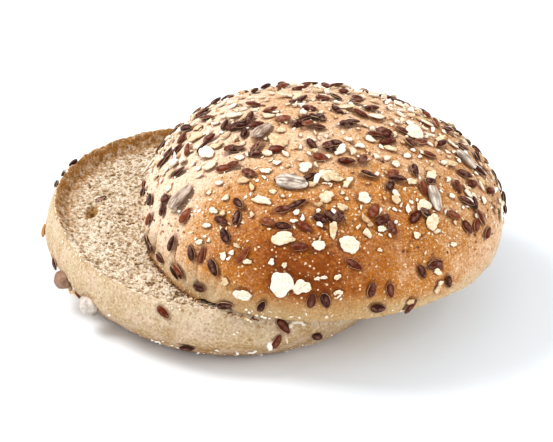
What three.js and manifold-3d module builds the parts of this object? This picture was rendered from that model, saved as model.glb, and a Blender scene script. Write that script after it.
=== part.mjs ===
// One sliced hamburger bun with seeds and oat flakes: its crown, the domed upper half,
// lies pushed to one side on its heel, the lower half with its cut face up.
// Millimetres, +Z up. The origin is the middle of the heel's flat underside, on which the
// bun rests. +X is the side that the crown is pushed to, and -Y is the front.

import * as THREE from 'three';
import { mergeVertices } from 'three/addons/utils/BufferGeometryUtils.js';
import Module from 'manifold-3d';

const wasm = await Module();
wasm.setup();

const { degToRad, lerp, smoothstep } = THREE.MathUtils;

// The heel: a flat underside, a round lower side, a widest line, and a side that leans in to the cut.
const HEEL_RADIUS = 58.4;
const HEEL_BASE_RADIUS = 47.7;
const HEEL_RIM_RADIUS = 55.3;
const HEEL_WIDEST_HEIGHT = 11.8;
const HEEL_ROUNDING = 1.3; // power of the lower side's curve, where 2 is an ellipse
const HEEL_OVAL = { share: 0.023, side: 150 };
const HEEL_THREE_LOBES = { share: 0.032, side: 26 };

// The heel's cut face: the crumb has sunk a little inside a lip of crust.
const CRUMB_LEVEL = 19.8;
const LIP_HEIGHT = 1.3;
const LIP_TOP_WIDTH = 1.1;
const LIP_WIDTH = 3.4;
const LIP_RAISED = 2.3; // how much higher the lip stands at the back left
const LIP_RAISED_SIDE = 140;
const LIP_RAISED_REACH = 0.15; // cosine of the angle from that side at which it is back to normal
const CRUMB_INNER_RING = 0.5; // share of the rim's radius

// The crown: a flat cut face, a low upright side and a dome.
const CROWN_RADIUS = 55.2;
const CROWN_CUT_RADIUS = 54.8;
const CROWN_WIDEST_HEIGHT = 6.7;
const CROWN_HEIGHT = 37.8;
const CROWN_ROUNDING = 1.88;
const CROWN_OVAL = { share: 0.0186, side: 137 };
const CROWN_THREE_LOBES = { share: 0.0208, side: 0 };
const CROWN_SHIFT = { right: 26.3, front: 8.7 };
const CROWN_TILT = 0.5; // degrees, down to the right
const CROWN_TILT_ROOM = 0.3; // the tilt brings its cut face this much nearer to the rim
const REST_GAP = 0.3;
const CROWN_DROP_AT_CUT = 10; // the crown's drop goes this far past 90, down to the cut

// How finely the two halves are faceted.
const AZIMUTH_STEPS = 56;
const DOME_RINGS = 12;
const CROWN_SIDE_RINGS = 2;
const HEEL_SIDE_RINGS = 5;

// Toppings, each half sunk in the crust it is baked on to.
const FLAX = { length: 5.4, width: 2.8, thickness: 1.5, taper: 0.3 };
const FLAX_SHRINK = 0.2; // the last seed is this much smaller than the first
const OAT = { thickness: 1.3, wobble: 0.1 };
const KERNEL = { thickness: 3, taper: 0.16 };
const LUMPY_KERNEL = { thickness: 6, taper: 0.1 }; // the two on the heel are thicker and rounder
const FLAX_FACETS = { sides: 6, rings: 3 };
const KERNEL_FACETS = { sides: 8, rings: 6 };
const OAT_SIDES = 8;
const CROWN_FLAX_COUNT = 138;
const HEEL_FLAX_COUNT = 14;
const FLAX_SPACING = 4.6;
const LANDMARK_SPACING = 6;
const CROWN_DROP_EDGE = 96; // the lowest that a seed lies
const SEED_EDGE_BACK = 88; // drop at which the thick cover of seeds ends
const SEED_EDGE_FRONT = 56;
const SEED_FRONT_SIDE = 265;
const SEED_EDGE_FADE = 10;
const HEEL_BARE_SIDE = 230; // no drawn seeds here, where each one is placed by hand
const HEEL_BARE_REACH = 75;
const HEEL_FLAX_CLIMB = { lowest: 0.5, highest: 1.6 };

// The toppings that show one by one: azimuth, drop from the top and turn, in degrees. Kernels
// and oats have their length and width as well.
const KERNELS_ON_CROWN = [
  [204, 22, 126, 8.6, 4.6], [254, 36, 0, 9.4, 5], [209, 60, 92, 9.2, 5.4], [319, 52, -115, 8.8, 4],
  [354, 52, -118, 8, 4],
];
const OATS_ON_CROWN = [
  [258, 79, 85, 7.6, 7], [264, 80, 40, 5.6, 4], [246, 90, 0, 5.2, 3.6], [256, 59, 10, 5.8, 4.4],
  [279, 61, -10, 6.2, 4.8], [312, 60, 60, 4.8, 3.8], [355, 31, 0, 6.6, 5.4], [226, 21, 0, 7, 4.4],
  [289, 43, -10, 4.4, 3.2], [272, 41, 10, 4.4, 3.2], [196, 42, 20, 5.6, 4.2], [165, 31, 60, 5, 3.8],
];
const FLAX_ON_CROWN = [
  [267, 88, 75], [271, 88, -75], [280, 70, -35], [285, 84, 75], [291, 86, -85], [298, 98, 40],
  [302, 80, -70], [308, 79, -55], [312, 92, -70], [252, 94, 65], [235, 80, -50], [221, 93, -30],
];
// On the heel's side: azimuth and climb, from 0 at the base to 2 at the rim.
const KERNELS_ON_HEEL = [[219, 0.75, 60, 8.8, 7.2], [203, 0.8, 20, 6.8, 4.8]];
const FLAX_ON_HEEL = [
  [250, 1.7, -30], [257, 0.65, 0], [283, 0.9, 60], [178, 1.1, 90], [196, 0.95, 80], [163, 1.8, 30],
  [152, 1.95, 10], [131, 2, 0], [158, 1.9, 20],
];

/** How far out a half reaches at an azimuth, against a round one of its size. */
function outline(azimuth, oval, lobes) {
  const stretch = oval.share * Math.cos(degToRad(2 * (azimuth - oval.side)));
  return 1 + stretch + lobes.share * Math.cos(degToRad(3 * (azimuth - lobes.side)));
}

/** A point at a radius and height, at an azimuth in degrees. */
function pointAt(azimuth, radius, height) {
  const turn = degToRad(azimuth);
  return new THREE.Vector3(radius * Math.cos(turn), radius * Math.sin(turn), height);
}

/** The height of the heel's rim, which stands up at the back left. */
function rimHeight(azimuth) {
  const facing = Math.cos(degToRad(azimuth - LIP_RAISED_SIDE));
  return CRUMB_LEVEL + LIP_HEIGHT + LIP_RAISED * smoothstep(facing, LIP_RAISED_REACH, 1);
}

/** A point on the heel's side: climb is 0 at the base's edge, 1 at the widest line, 2 at the rim. */
function heelSide(azimuth, climb) {
  const under = Math.min(climb, 1) * Math.PI / 2;
  const over = Math.max(climb - 1, 0);
  const bulge = Math.sin(under) ** (2 / HEEL_ROUNDING);
  const rise = 1 - Math.abs(Math.cos(under)) ** (2 / HEEL_ROUNDING);
  const radius = lerp(HEEL_BASE_RADIUS, HEEL_RADIUS, bulge) - (HEEL_RADIUS - HEEL_RIM_RADIUS) * over ** 2;
  const height = HEEL_WIDEST_HEIGHT * rise + (rimHeight(azimuth) - HEEL_WIDEST_HEIGHT) * over;
  return pointAt(azimuth, radius * outline(azimuth, HEEL_OVAL, HEEL_THREE_LOBES), height);
}

/** A point on the crown: drop is 0 at the top, 90 at the widest line and 100 at the cut. */
function crownSurface(azimuth, drop) {
  const over = degToRad(Math.min(drop, 90));
  const under = Math.max(drop - 90, 0) / CROWN_DROP_AT_CUT;
  const bulge = Math.sin(over) ** (2 / CROWN_ROUNDING);
  const rise = Math.abs(Math.cos(over)) ** (2 / CROWN_ROUNDING);
  const radius = CROWN_RADIUS * bulge - (CROWN_RADIUS - CROWN_CUT_RADIUS) * under ** 2;
  const height = CROWN_WIDEST_HEIGHT * (1 - under) + (CROWN_HEIGHT - CROWN_WIDEST_HEIGHT) * rise;
  return pointAt(azimuth, radius * outline(azimuth, CROWN_OVAL, CROWN_THREE_LOBES), height);
}

/** One ring of points round a half, from a function of the azimuth. */
function ring(pointOf) {
  return Array.from({ length: AZIMUTH_STEPS }, (_, step) => pointOf(step * 360 / AZIMUTH_STEPS));
}

/** A closed geometry: rings from the lowest to the last, with a point to close each end. */
function ringGeometry(first, rings, last) {
  const points = [first, ...rings.flat(), last];
  const lastRing = 1 + (rings.length - 1) * AZIMUTH_STEPS;
  const triangles = [];
  for (let step = 0; step < AZIMUTH_STEPS; step += 1) {
    const next = (step + 1) % AZIMUTH_STEPS;
    triangles.push(0, 1 + next, 1 + step);
    for (let level = 0; level < rings.length - 1; level += 1) {
      const low = 1 + level * AZIMUTH_STEPS;
      const high = low + AZIMUTH_STEPS;
      triangles.push(low + step, low + next, high + next, low + step, high + next, high + step);
    }
    triangles.push(points.length - 1, lastRing + step, lastRing + next);
  }
  const geometry = new THREE.BufferGeometry();
  geometry.setAttribute('position', new THREE.Float32BufferAttribute(points.flatMap((p) => p.toArray()), 3));
  geometry.setIndex(triangles);
  return geometry;
}

/** The bare heel, from its base up its side, over the lip and in to the middle of the crumb. */
function heelGeometry() {
  const lipPoint = (azimuth, inward, height) => {
    const reach = HEEL_RIM_RADIUS * outline(azimuth, HEEL_OVAL, HEEL_THREE_LOBES) - inward;
    return pointAt(azimuth, reach, height);
  };
  const rings = [];
  for (let level = 0; level <= 2 * HEEL_SIDE_RINGS; level += 1) {
    rings.push(ring((azimuth) => heelSide(azimuth, level / HEEL_SIDE_RINGS)));
  }
  rings.push(ring((azimuth) => lipPoint(azimuth, LIP_TOP_WIDTH, rimHeight(azimuth))));
  rings.push(ring((azimuth) => lipPoint(azimuth, LIP_WIDTH, CRUMB_LEVEL)));
  rings.push(ring((azimuth) => pointAt(azimuth, HEEL_RIM_RADIUS * CRUMB_INNER_RING, CRUMB_LEVEL)));
  return ringGeometry(new THREE.Vector3(0, 0, 0), rings, new THREE.Vector3(0, 0, CRUMB_LEVEL));
}

/** The bare crown, from its cut face up its side and over the dome. */
function crownGeometry() {
  const rings = [];
  for (let level = CROWN_SIDE_RINGS; level > 0; level -= 1) {
    rings.push(ring((azimuth) => crownSurface(azimuth, 90 + CROWN_DROP_AT_CUT * level / CROWN_SIDE_RINGS)));
  }
  for (let level = DOME_RINGS; level > 0; level -= 1) {
    rings.push(ring((azimuth) => crownSurface(azimuth, 90 * level / DOME_RINGS)));
  }
  return ringGeometry(new THREE.Vector3(0, 0, 0), rings, new THREE.Vector3(0, 0, CROWN_HEIGHT));
}

/** A seed or kernel lying along X: a squashed ball, narrower towards one end. */
function seedGeometry(length, width, { thickness, taper }, { sides, rings }) {
  const geometry = new THREE.SphereGeometry(1, sides, rings).rotateZ(-Math.PI / 2);
  const position = geometry.attributes.position;
  for (let index = 0; index < position.count; index += 1) {
    position.setY(index, position.getY(index) * (1 - taper * position.getX(index)));
  }
  return geometry.scale(length / 2, width / 2, thickness / 2);
}

/** A rolled oat lying flat: a thin disc with an uneven edge. */
function oatGeometry(length, width, phase) {
  const geometry = new THREE.CylinderGeometry(1, 1, 1, OAT_SIDES).rotateX(Math.PI / 2);
  const position = geometry.attributes.position;
  for (let index = 0; index < position.count; index += 1) {
    const around = Math.atan2(position.getY(index), position.getX(index));
    const reach = 1 + OAT.wobble * Math.sin(3 * around + phase);
    position.setXY(index, position.getX(index) * reach, position.getY(index) * reach);
  }
  return geometry.scale(length / 2, width / 2, OAT.thickness);
}

// Between the points that show which way a surface runs, in degrees or in climb.
const SURFACE_STEP = 0.5;

/** The place of a topping on a surface: X turned along it from level, Z straight out of it. */
function placeOn(surface, uphill, [azimuth, across, turn]) {
  const here = surface(azimuth, across);
  const level = surface(azimuth + SURFACE_STEP, across).sub(here).normalize();
  const upward = surface(azimuth, across + uphill * SURFACE_STEP).sub(here);
  const out = new THREE.Vector3().crossVectors(level, upward).normalize();
  const along = level.applyAxisAngle(out, degToRad(turn));
  const side = new THREE.Vector3().crossVectors(out, along);
  return new THREE.Matrix4().makeBasis(along, side, out).setPosition(here);
}

/** A geometry as a solid that can be joined to others. */
function solidOf(geometry) {
  geometry.deleteAttribute('normal');
  geometry.deleteAttribute('uv');
  const merged = mergeVertices(geometry);
  return new wasm.Manifold(new wasm.Mesh({
    numProp: 3,
    vertProperties: merged.attributes.position.array,
    triVerts: new Uint32Array(merged.index.array),
  }));
}

/** A half with its toppings fused on, as a geometry. */
function fused(bare, toppings) {
  const joined = toppings.reduce((solid, topping) => solid.add(solidOf(topping)), solidOf(bare));
  const mesh = joined.getMesh();
  const geometry = new THREE.BufferGeometry();
  geometry.setAttribute('position', new THREE.BufferAttribute(mesh.vertProperties, 3));
  geometry.setIndex(new THREE.BufferAttribute(mesh.triVerts, 1));
  geometry.computeVertexNormals();
  return geometry;
}

// A steep sine, whose fractions look like chance and come out alike each time.
const DRAW_STEP = 12.9898;
const DRAW_STREAM = 78.233;
const DRAW_STEEPNESS = 43758.5453;

/** A repeatable draw between 0 and 1: the fraction of a steep sine of the index and the stream. */
function draw(index, stream) {
  const wave = Math.sin(index * DRAW_STEP + stream * DRAW_STREAM) * DRAW_STEEPNESS;
  return wave - Math.floor(wave);
}

/** How thickly seeds lie on the crown: 1 on top, fading to 0 down the side, soonest at the front. */
function seedCover(azimuth, drop) {
  const front = 0.5 + 0.5 * Math.cos(degToRad(azimuth - SEED_FRONT_SIDE));
  const edge = lerp(SEED_EDGE_BACK, SEED_EDGE_FRONT, front ** 2);
  return 1 - smoothstep(drop, edge - SEED_EDGE_FADE, edge + SEED_EDGE_FADE);
}

/** Seed places by a rule: repeatable draws, kept where the cover asks and clear of what lies there. */
function scatter(count, surface, drawPlace, taken) {
  const places = [];
  for (let index = 1; places.length < count; index += 1) {
    const place = drawPlace(index);
    const point = place && surface(place[0], place[1]);
    if (point && taken.every(([other, room]) => point.distanceTo(other) > room)) {
      places.push(place);
      taken.push([point, FLAX_SPACING]);
    }
  }
  return places;
}

/** A drawn place on the crown, even over a ball's surface and then thinned by the cover. */
function crownPlace(index) {
  const azimuth = 360 * draw(index, 1);
  const lowest = Math.cos(degToRad(CROWN_DROP_EDGE));
  const drop = THREE.MathUtils.radToDeg(Math.acos(1 - draw(index, 2) * (1 - lowest)));
  return draw(index, 3) < seedCover(azimuth, drop) ? [azimuth, drop, 360 * draw(index, 4)] : null;
}

/** A drawn place on the heel's side, away from the front, where its seeds are placed one by one. */
function heelPlace(index) {
  const azimuth = 360 * draw(index, 5);
  const climb = lerp(HEEL_FLAX_CLIMB.lowest, HEEL_FLAX_CLIMB.highest, draw(index, 6));
  const bare = Math.abs(azimuth - HEEL_BARE_SIDE) < HEEL_BARE_REACH;
  return bare ? null : [azimuth, climb, 360 * draw(index, 7)];
}

/** Flax seeds at their places, the largest first. */
function flaxAt(places, surface, uphill) {
  return places.map((place, index) => {
    const size = 1 - FLAX_SHRINK * index / places.length;
    const seed = seedGeometry(FLAX.length, FLAX.width, FLAX, FLAX_FACETS).scale(size, size, size);
    return seed.applyMatrix4(placeOn(surface, uphill, place));
  });
}

/** Kernels at their places, each of its own length and width. */
function kernelsAt(places, kind, surface, uphill) {
  return places.map((place) => {
    const kernel = seedGeometry(place[3], place[4], kind, KERNEL_FACETS);
    return kernel.applyMatrix4(placeOn(surface, uphill, place));
  });
}

/** What lies on the crown: kernels, oat flakes, and flax seeds by hand and by rule. */
function crownToppings() {
  const landmarks = [...KERNELS_ON_CROWN, ...OATS_ON_CROWN, ...FLAX_ON_CROWN];
  const taken = landmarks.map(([azimuth, drop]) => [crownSurface(azimuth, drop), LANDMARK_SPACING]);
  const seeds = [...FLAX_ON_CROWN, ...scatter(CROWN_FLAX_COUNT, crownSurface, crownPlace, taken)];
  const kernels = kernelsAt(KERNELS_ON_CROWN, KERNEL, crownSurface, -1);
  const oats = OATS_ON_CROWN.map((place, index) => (
    oatGeometry(place[3], place[4], index).applyMatrix4(placeOn(crownSurface, -1, place))));
  return [...kernels, ...oats, ...flaxAt(seeds, crownSurface, -1)];
}

/** What lies on the heel's side: two kernels and a few flax seeds. */
function heelToppings() {
  const landmarks = [...KERNELS_ON_HEEL, ...FLAX_ON_HEEL];
  const taken = landmarks.map(([azimuth, climb]) => [heelSide(azimuth, climb), LANDMARK_SPACING]);
  const seeds = [...FLAX_ON_HEEL, ...scatter(HEEL_FLAX_COUNT, heelSide, heelPlace, taken)];
  const kernels = kernelsAt(KERNELS_ON_HEEL, LUMPY_KERNEL, heelSide, 1);
  return [...kernels, ...flaxAt(seeds, heelSide, 1)];
}

const bun = new THREE.Group();

const heel = new THREE.Mesh(
  fused(heelGeometry(), heelToppings()),
  new THREE.MeshStandardMaterial({ color: 0xc9a982, roughness: 0.85, metalness: 0 }),
);
heel.name = 'heel';
bun.add(heel);

const crown = new THREE.Mesh(
  fused(crownGeometry(), crownToppings()),
  new THREE.MeshStandardMaterial({ color: 0xc08a4e, roughness: 0.7, metalness: 0 }),
);
crown.name = 'crown';
const crownLevel = CRUMB_LEVEL + LIP_HEIGHT + REST_GAP + CROWN_TILT_ROOM;
crown.position.set(CROWN_SHIFT.right, -CROWN_SHIFT.front, crownLevel);
crown.rotation.y = degToRad(CROWN_TILT);
bun.add(crown);

export default bun;
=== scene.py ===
# %% [markdown]
# # A sliced hamburger bun with seeds
# The bun has two halves. The heel, the lower half, lies cut face up, and the crown, the domed
# upper half, lies pushed to the right on it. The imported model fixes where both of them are, so
# this lesson only builds their fine surfaces and finishes, in the same frame and in metres.

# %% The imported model
import math

import bpy
import numpy as np
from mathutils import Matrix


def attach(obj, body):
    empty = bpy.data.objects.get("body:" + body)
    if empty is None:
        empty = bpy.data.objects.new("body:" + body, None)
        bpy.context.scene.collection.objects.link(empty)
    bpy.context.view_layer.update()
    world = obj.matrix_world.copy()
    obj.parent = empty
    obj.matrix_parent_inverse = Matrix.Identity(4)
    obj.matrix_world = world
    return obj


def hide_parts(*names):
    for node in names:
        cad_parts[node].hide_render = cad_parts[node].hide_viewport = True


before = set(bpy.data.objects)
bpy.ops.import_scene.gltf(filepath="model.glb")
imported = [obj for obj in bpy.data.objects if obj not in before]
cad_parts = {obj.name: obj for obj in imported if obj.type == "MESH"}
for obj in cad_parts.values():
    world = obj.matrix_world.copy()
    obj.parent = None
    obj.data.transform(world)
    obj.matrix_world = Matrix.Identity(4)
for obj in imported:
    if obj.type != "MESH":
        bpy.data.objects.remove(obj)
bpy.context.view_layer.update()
print("the solids' nodes:", *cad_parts)

# %% [markdown]
# ## The camera
# The bun is seen from the front and from above, from far away, so that its halves look hardly
# tapered. The camera's place is worked out from what it looks at, how steeply it looks down, and
# how far away it is. The same numbers also say at which pixel of the 553 by 442 picture a point
# of the bun is seen, which later places the seeds that show one by one.

# %% The camera
MM = 0.001
PICTURE_WIDTH = 553
PICTURE_HEIGHT = 442
LOOK_AT = np.array([13.4, 0.0, 17.7])
LOOK_DOWN = math.radians(30.5)
DISTANCE = 700.0
PIXELS_PER_SLOPE = 2240.0
SENSOR_WIDTH = 36.0

look = np.array([0.0, math.cos(LOOK_DOWN), -math.sin(LOOK_DOWN)])
look_up = np.array([0.0, math.sin(LOOK_DOWN), math.cos(LOOK_DOWN)])
eye = LOOK_AT - look * DISTANCE


def pixel_of(points):
    """Where points are seen: their offsets right and up over their depth, counted from the
    picture's middle."""
    offset = points - eye
    depth = offset @ look
    across = PICTURE_WIDTH / 2 + PIXELS_PER_SLOPE * offset[..., 0] / depth
    down = PICTURE_HEIGHT / 2 - PIXELS_PER_SLOPE * (offset @ look_up) / depth
    return np.stack([across, down], axis=-1)


def seen_on_level(pixels, level):
    """The points of a level plane that are seen at rows of pixels: sight lines from the eye are
    followed down to the plane."""
    slope_right = (pixels[:, :1] - PICTURE_WIDTH / 2) / PIXELS_PER_SLOPE
    slope_up = (PICTURE_HEIGHT / 2 - pixels[:, 1:2]) / PIXELS_PER_SLOPE
    sight = look + slope_right * [1, 0, 0] + slope_up * look_up
    return eye + sight * (level - eye[2]) / sight[:, 2:]


lens = bpy.data.cameras.new("camera")
lens.sensor_width = SENSOR_WIDTH
lens.lens = PIXELS_PER_SLOPE * SENSOR_WIDTH / PICTURE_WIDTH
lens.clip_end = 10
camera = bpy.data.objects.new("camera", lens)
camera.location = eye * MM
camera.rotation_euler = (math.pi / 2 - LOOK_DOWN, 0, 0)
bpy.context.collection.objects.link(camera)
bpy.context.scene.camera = camera
print("a lens of", round(lens.lens, 1), "mm")

# %% [markdown]
# ## Floor and light
# A white floor and a bright, even sky give the plain studio look. The floor is lit past white, so
# that only a soft grey shadow close to the bun shows on it. Three soft boxes stand round the bun:
# the strongest, behind on the left, gives each seed a small shadow, and the other two lighten the
# shadows on the right and at the front.

# %% Floor and light
FLOOR_HALF = 3.0
SKY_LIGHT = 0.77
SOFT_BOXES = {
    "left": {"place": (-0.58, 0.15, 0.71), "size": 0.42, "power": 7.4, "colour": (1.0, 0.99, 0.98)},
    "right": {"place": (0.65, -0.3, 0.5), "size": 0.7, "power": 3.2, "colour": (1.0, 1.0, 1.0)},
    "front": {"place": (0.05, -0.75, 0.4), "size": 0.8, "power": 0.9, "colour": (1.0, 1.0, 1.0)},
}

scene = bpy.context.scene
scene.view_settings.view_transform = "Standard"
sky = bpy.data.worlds.new("sky")
sky.use_nodes = True
sky.node_tree.nodes["Background"].inputs["Color"].default_value = (1, 1, 1, 1)
sky.node_tree.nodes["Background"].inputs["Strength"].default_value = SKY_LIGHT
scene.world = sky


def soft_box(name, place, size, power, colour):
    """A square light at a place, turned to face the bun's middle."""
    lamp = bpy.data.lights.new(name, "AREA")
    lamp.size = size
    lamp.energy = power
    lamp.color = colour
    holder = bpy.data.objects.new(name, lamp)
    to_bun = np.array(place) - LOOK_AT * MM
    holder.location = place
    pitch = math.atan2(math.hypot(to_bun[0], to_bun[1]), to_bun[2])
    holder.rotation_euler = (pitch, 0, math.atan2(to_bun[1], to_bun[0]) + math.pi / 2)
    bpy.context.collection.objects.link(holder)


for name, box in SOFT_BOXES.items():
    soft_box(name, **box)
print(len(SOFT_BOXES), "soft boxes")

# %% [markdown]
# ## Helpers for meshes
# Every piece is a grid of points worked out as whole arrays: rings of points from one end to the
# other, closed by a point at each end. One helper joins such rings with four-sided faces, another
# puts points, faces and per-point values into a mesh object at the origin.


# %% Mesh helpers
def ring_faces(rings, around):
    """Faces that join rings of points, with a first and a last point closing the ends. Points
    are numbered first, then ring by ring, then last."""
    step = np.arange(around)
    following = (step + 1) % around
    low = 1 + np.arange(rings - 1)[:, None] * around
    quads = np.stack([low + step, low + following, low + around + following, low + around + step], axis=-1)
    start = np.stack([np.zeros(around, int), 1 + following, 1 + step], axis=-1)
    top = 1 + (rings - 1) * around
    end = np.stack([np.full(around, 1 + rings * around), top + step, top + following], axis=-1)
    return quads.reshape(-1, 4), np.concatenate([start, end])


def ring_points(first, grid, last):
    """The points of a grid of rings, between a first and a last one."""
    return np.concatenate([[first], grid.reshape(-1, 3), [last]])


def new_piece(name, points, faces, slot, stands_for, **values):
    """A smooth mesh object from points in millimetres and lists of faces, with named per-point
    values: one number for each point, or three."""
    mesh = bpy.data.meshes.new(name)
    mesh.from_pydata((points * MM).tolist(), [], [face for part in faces for face in part.tolist()])
    mesh.shade_smooth()
    for value_name, numbers in values.items():
        kind, field = ("FLOAT", "value") if numbers.ndim == 1 else ("FLOAT_VECTOR", "vector")
        attribute = mesh.attributes.new(value_name, kind, "POINT")
        attribute.data.foreach_set(field, np.ascontiguousarray(numbers, dtype=np.float32).ravel())
    piece = bpy.data.objects.new(name, mesh)
    bpy.context.collection.objects.link(piece)
    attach(piece, "root")
    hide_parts(*stands_for)
    print(name, "has", len(mesh.vertices), "points and", len(mesh.polygons), "faces")
    return piece


floor_corners = np.array([[-1, -1, 0], [1, -1, 0], [1, 1, 0], [-1, 1, 0]]) * FLOOR_HALF
floor_mesh = bpy.data.meshes.new("floor")
floor_mesh.from_pydata(floor_corners.tolist(), [], [[0, 1, 2, 3]])
floor = bpy.data.objects.new("floor", floor_mesh)
bpy.context.collection.objects.link(floor)

# %% [markdown]
# ## Unevenness
# Bread is uneven at every size. Two kinds of unevenness do nearly all of it. Smooth noise, which
# blends chance values at the corners of a lattice of cubes, makes lumps and wrinkles. Bubbles,
# chance balls with one to a cube, make the pores of the crumb. Both depend on nothing but the
# point in space, so the same bread comes out each time.


# %% Noise and bubbles
def chance(cells, stream):
    """A repeatable value from 0 to 1 for each whole-numbered cell, mixed by multiplying its three
    numbers by large odd ones and folding the high bits down."""
    whole = cells.astype(np.int64).astype(np.uint32)
    mixed = whole[..., 0] * np.uint32(0x9E3779B1) ^ whole[..., 1] * np.uint32(0x85EBCA77)
    mixed = mixed ^ whole[..., 2] * np.uint32(0xC2B2AE3D) ^ np.uint32((stream + 1) * 0x27D4EB2F % 2**32)
    for shift, factor in ((15, 0x2C1B3C6D), (12, 0x297A2D39), (15, 1)):
        mixed = (mixed ^ (mixed >> np.uint32(shift))) * np.uint32(factor)
    return mixed / 2.0**32


def noise(points, size, stream):
    """Smooth noise from -1 to 1 with lumps of about one size: chance values at a lattice's
    corners, blended by how near each one is."""
    place = points / size
    cell = np.floor(place)
    share = place - cell
    share = share * share * (3 - 2 * share)
    total = np.zeros(points.shape[:-1])
    for corner in np.ndindex(2, 2, 2):
        weight = np.prod(np.where(corner, share, 1 - share), axis=-1)
        total += weight * chance(cell + corner, stream)
    return 2 * total - 1


def layered(points, size, stream, layers):
    """Noise in layers, each half the size and half the strength of the one before."""
    parts = [noise(points, size / 2**layer, stream + layer) / 2**layer for layer in range(layers)]
    return sum(parts)


def lumps(points, size, depth, stream, layers=1, flatter=1.0):
    """How far layered noise stands out: by its depth, and flatter from below to above by a factor."""
    return depth * layered(points * [1, 1, flatter], size, stream, layers)


def bubbles(points, size, stream, filled):
    """How deep points lie in chance bubbles, from 0 outside to 1 in a bubble's middle. Each cube
    of a lattice holds a bubble or, by the share that is filled, none."""
    place = points / size
    cell = np.floor(place)
    deepest = np.zeros(points.shape[:-1])
    for corner in np.ndindex(3, 3, 3):
        home = cell + corner - 1
        middle = home + np.stack([chance(home, stream + axis) for axis in range(3)], axis=-1)
        radius = 0.25 + 0.45 * chance(home, stream + 3)
        there = chance(home, stream + 4) < filled
        inside = 1 - np.sum((place - middle) ** 2, axis=-1) / radius**2
        deepest = np.maximum(deepest, np.where(there, np.clip(inside, 0, 1), 0))
    return np.sqrt(deepest)


def smooth_step(value, low, high):
    """0 below low, 1 above high, and a smooth climb between."""
    share = np.clip((value - low) / (high - low), 0, 1)
    return share * share * (3 - 2 * share)


def outward(grid):
    """Outward directions of a grid of rings: the way round crossed with the way up."""
    way_round = np.roll(grid, -1, axis=1) - np.roll(grid, 1, axis=1)
    way_up = np.gradient(grid, axis=0)
    normal = np.cross(way_round, way_up)
    return normal / np.linalg.norm(normal, axis=-1, keepdims=True)


# %% [markdown]
# ## The two halves as formulas
# Both halves are round forms drawn by one profile, pushed out of round by a slight oval and by
# three soft lobes, as dough that touched its neighbours is. The numbers are the solids' own, so
# that the fine surfaces lie where the solids are. Angles are in degrees and sizes in millimetres.

# %% The halves' formulas
HEEL_RADIUS = 58.4
HEEL_BASE_RADIUS = 47.7
HEEL_RIM_RADIUS = 55.3
HEEL_WIDEST_HEIGHT = 11.8
HEEL_ROUNDING = 1.3
HEEL_OVAL = (0.023, 150)
HEEL_THREE_LOBES = (0.032, 26)
CRUMB_LEVEL = 19.8
LIP_HEIGHT = 1.3
LIP_RAISED = 2.3
LIP_RAISED_SIDE = 140
LIP_RAISED_REACH = 0.15
CROWN_RADIUS = 55.2
CROWN_CUT_RADIUS = 54.8
CROWN_WIDEST_HEIGHT = 6.7
CROWN_HEIGHT = 37.8
CROWN_ROUNDING = 1.88
CROWN_OVAL = (0.0186, 137)
CROWN_THREE_LOBES = (0.0208, 0)
CROWN_DROP_AT_CUT = 10
CROWN_PLACE = np.array([26.3, -8.7, 21.7])
CROWN_TILT = math.radians(0.5)


def outline(azimuth, oval, lobes):
    """How far out a half reaches, against a round one: an oval's share and the lobes' share."""
    stretch = oval[0] * np.cos(np.radians(2 * (azimuth - oval[1])))
    return 1 + stretch + lobes[0] * np.cos(np.radians(3 * (azimuth - lobes[1])))


def point_at(azimuth, radius, height):
    """Points at a radius and a height, at an azimuth."""
    turn = np.radians(azimuth)
    return np.stack(np.broadcast_arrays(radius * np.cos(turn), radius * np.sin(turn), height), axis=-1)


def turned_to(azimuth, side):
    """How far an azimuth is turned to a side: 1 towards it, and 0 away from it."""
    return 0.5 + 0.5 * np.cos(np.radians(azimuth - side))


def rim_height(azimuth):
    """The heel's rim, which stands up at the back left."""
    facing = np.cos(np.radians(azimuth - LIP_RAISED_SIDE))
    return CRUMB_LEVEL + LIP_HEIGHT + LIP_RAISED * smooth_step(facing, LIP_RAISED_REACH, 1)


def heel_side(azimuth, climb):
    """The heel's side: a curved quarter from the base, at climb 0, to the widest line, at 1, and
    then a side that leans in more and more up to the rim, at 2."""
    under = np.clip(climb, 0, 1) * math.pi / 2
    over = np.clip(climb - 1, 0, 1)
    bulge = np.sin(under) ** (2 / HEEL_ROUNDING)
    rise = 1 - np.abs(np.cos(under)) ** (2 / HEEL_ROUNDING)
    radius = HEEL_BASE_RADIUS + (HEEL_RADIUS - HEEL_BASE_RADIUS) * bulge
    radius = radius - (HEEL_RADIUS - HEEL_RIM_RADIUS) * over**2
    height = HEEL_WIDEST_HEIGHT * rise + (rim_height(azimuth) - HEEL_WIDEST_HEIGHT) * over
    return point_at(azimuth, radius * outline(azimuth, HEEL_OVAL, HEEL_THREE_LOBES), height)


def crown_side(azimuth, drop):
    """The crown in its own frame: a dome from the top, at drop 0, to the widest line, at 90, and
    a low upright side down to the cut, at 100."""
    over = np.radians(np.clip(drop, 0, 90))
    under = np.clip(drop - 90, 0, CROWN_DROP_AT_CUT) / CROWN_DROP_AT_CUT
    bulge = np.sin(over) ** (2 / CROWN_ROUNDING)
    rise = np.abs(np.cos(over)) ** (2 / CROWN_ROUNDING)
    radius = CROWN_RADIUS * bulge - (CROWN_RADIUS - CROWN_CUT_RADIUS) * under**2
    height = CROWN_WIDEST_HEIGHT * (1 - under) + (CROWN_HEIGHT - CROWN_WIDEST_HEIGHT) * rise
    return point_at(azimuth, radius * outline(azimuth, CROWN_OVAL, CROWN_THREE_LOBES), height)


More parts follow.
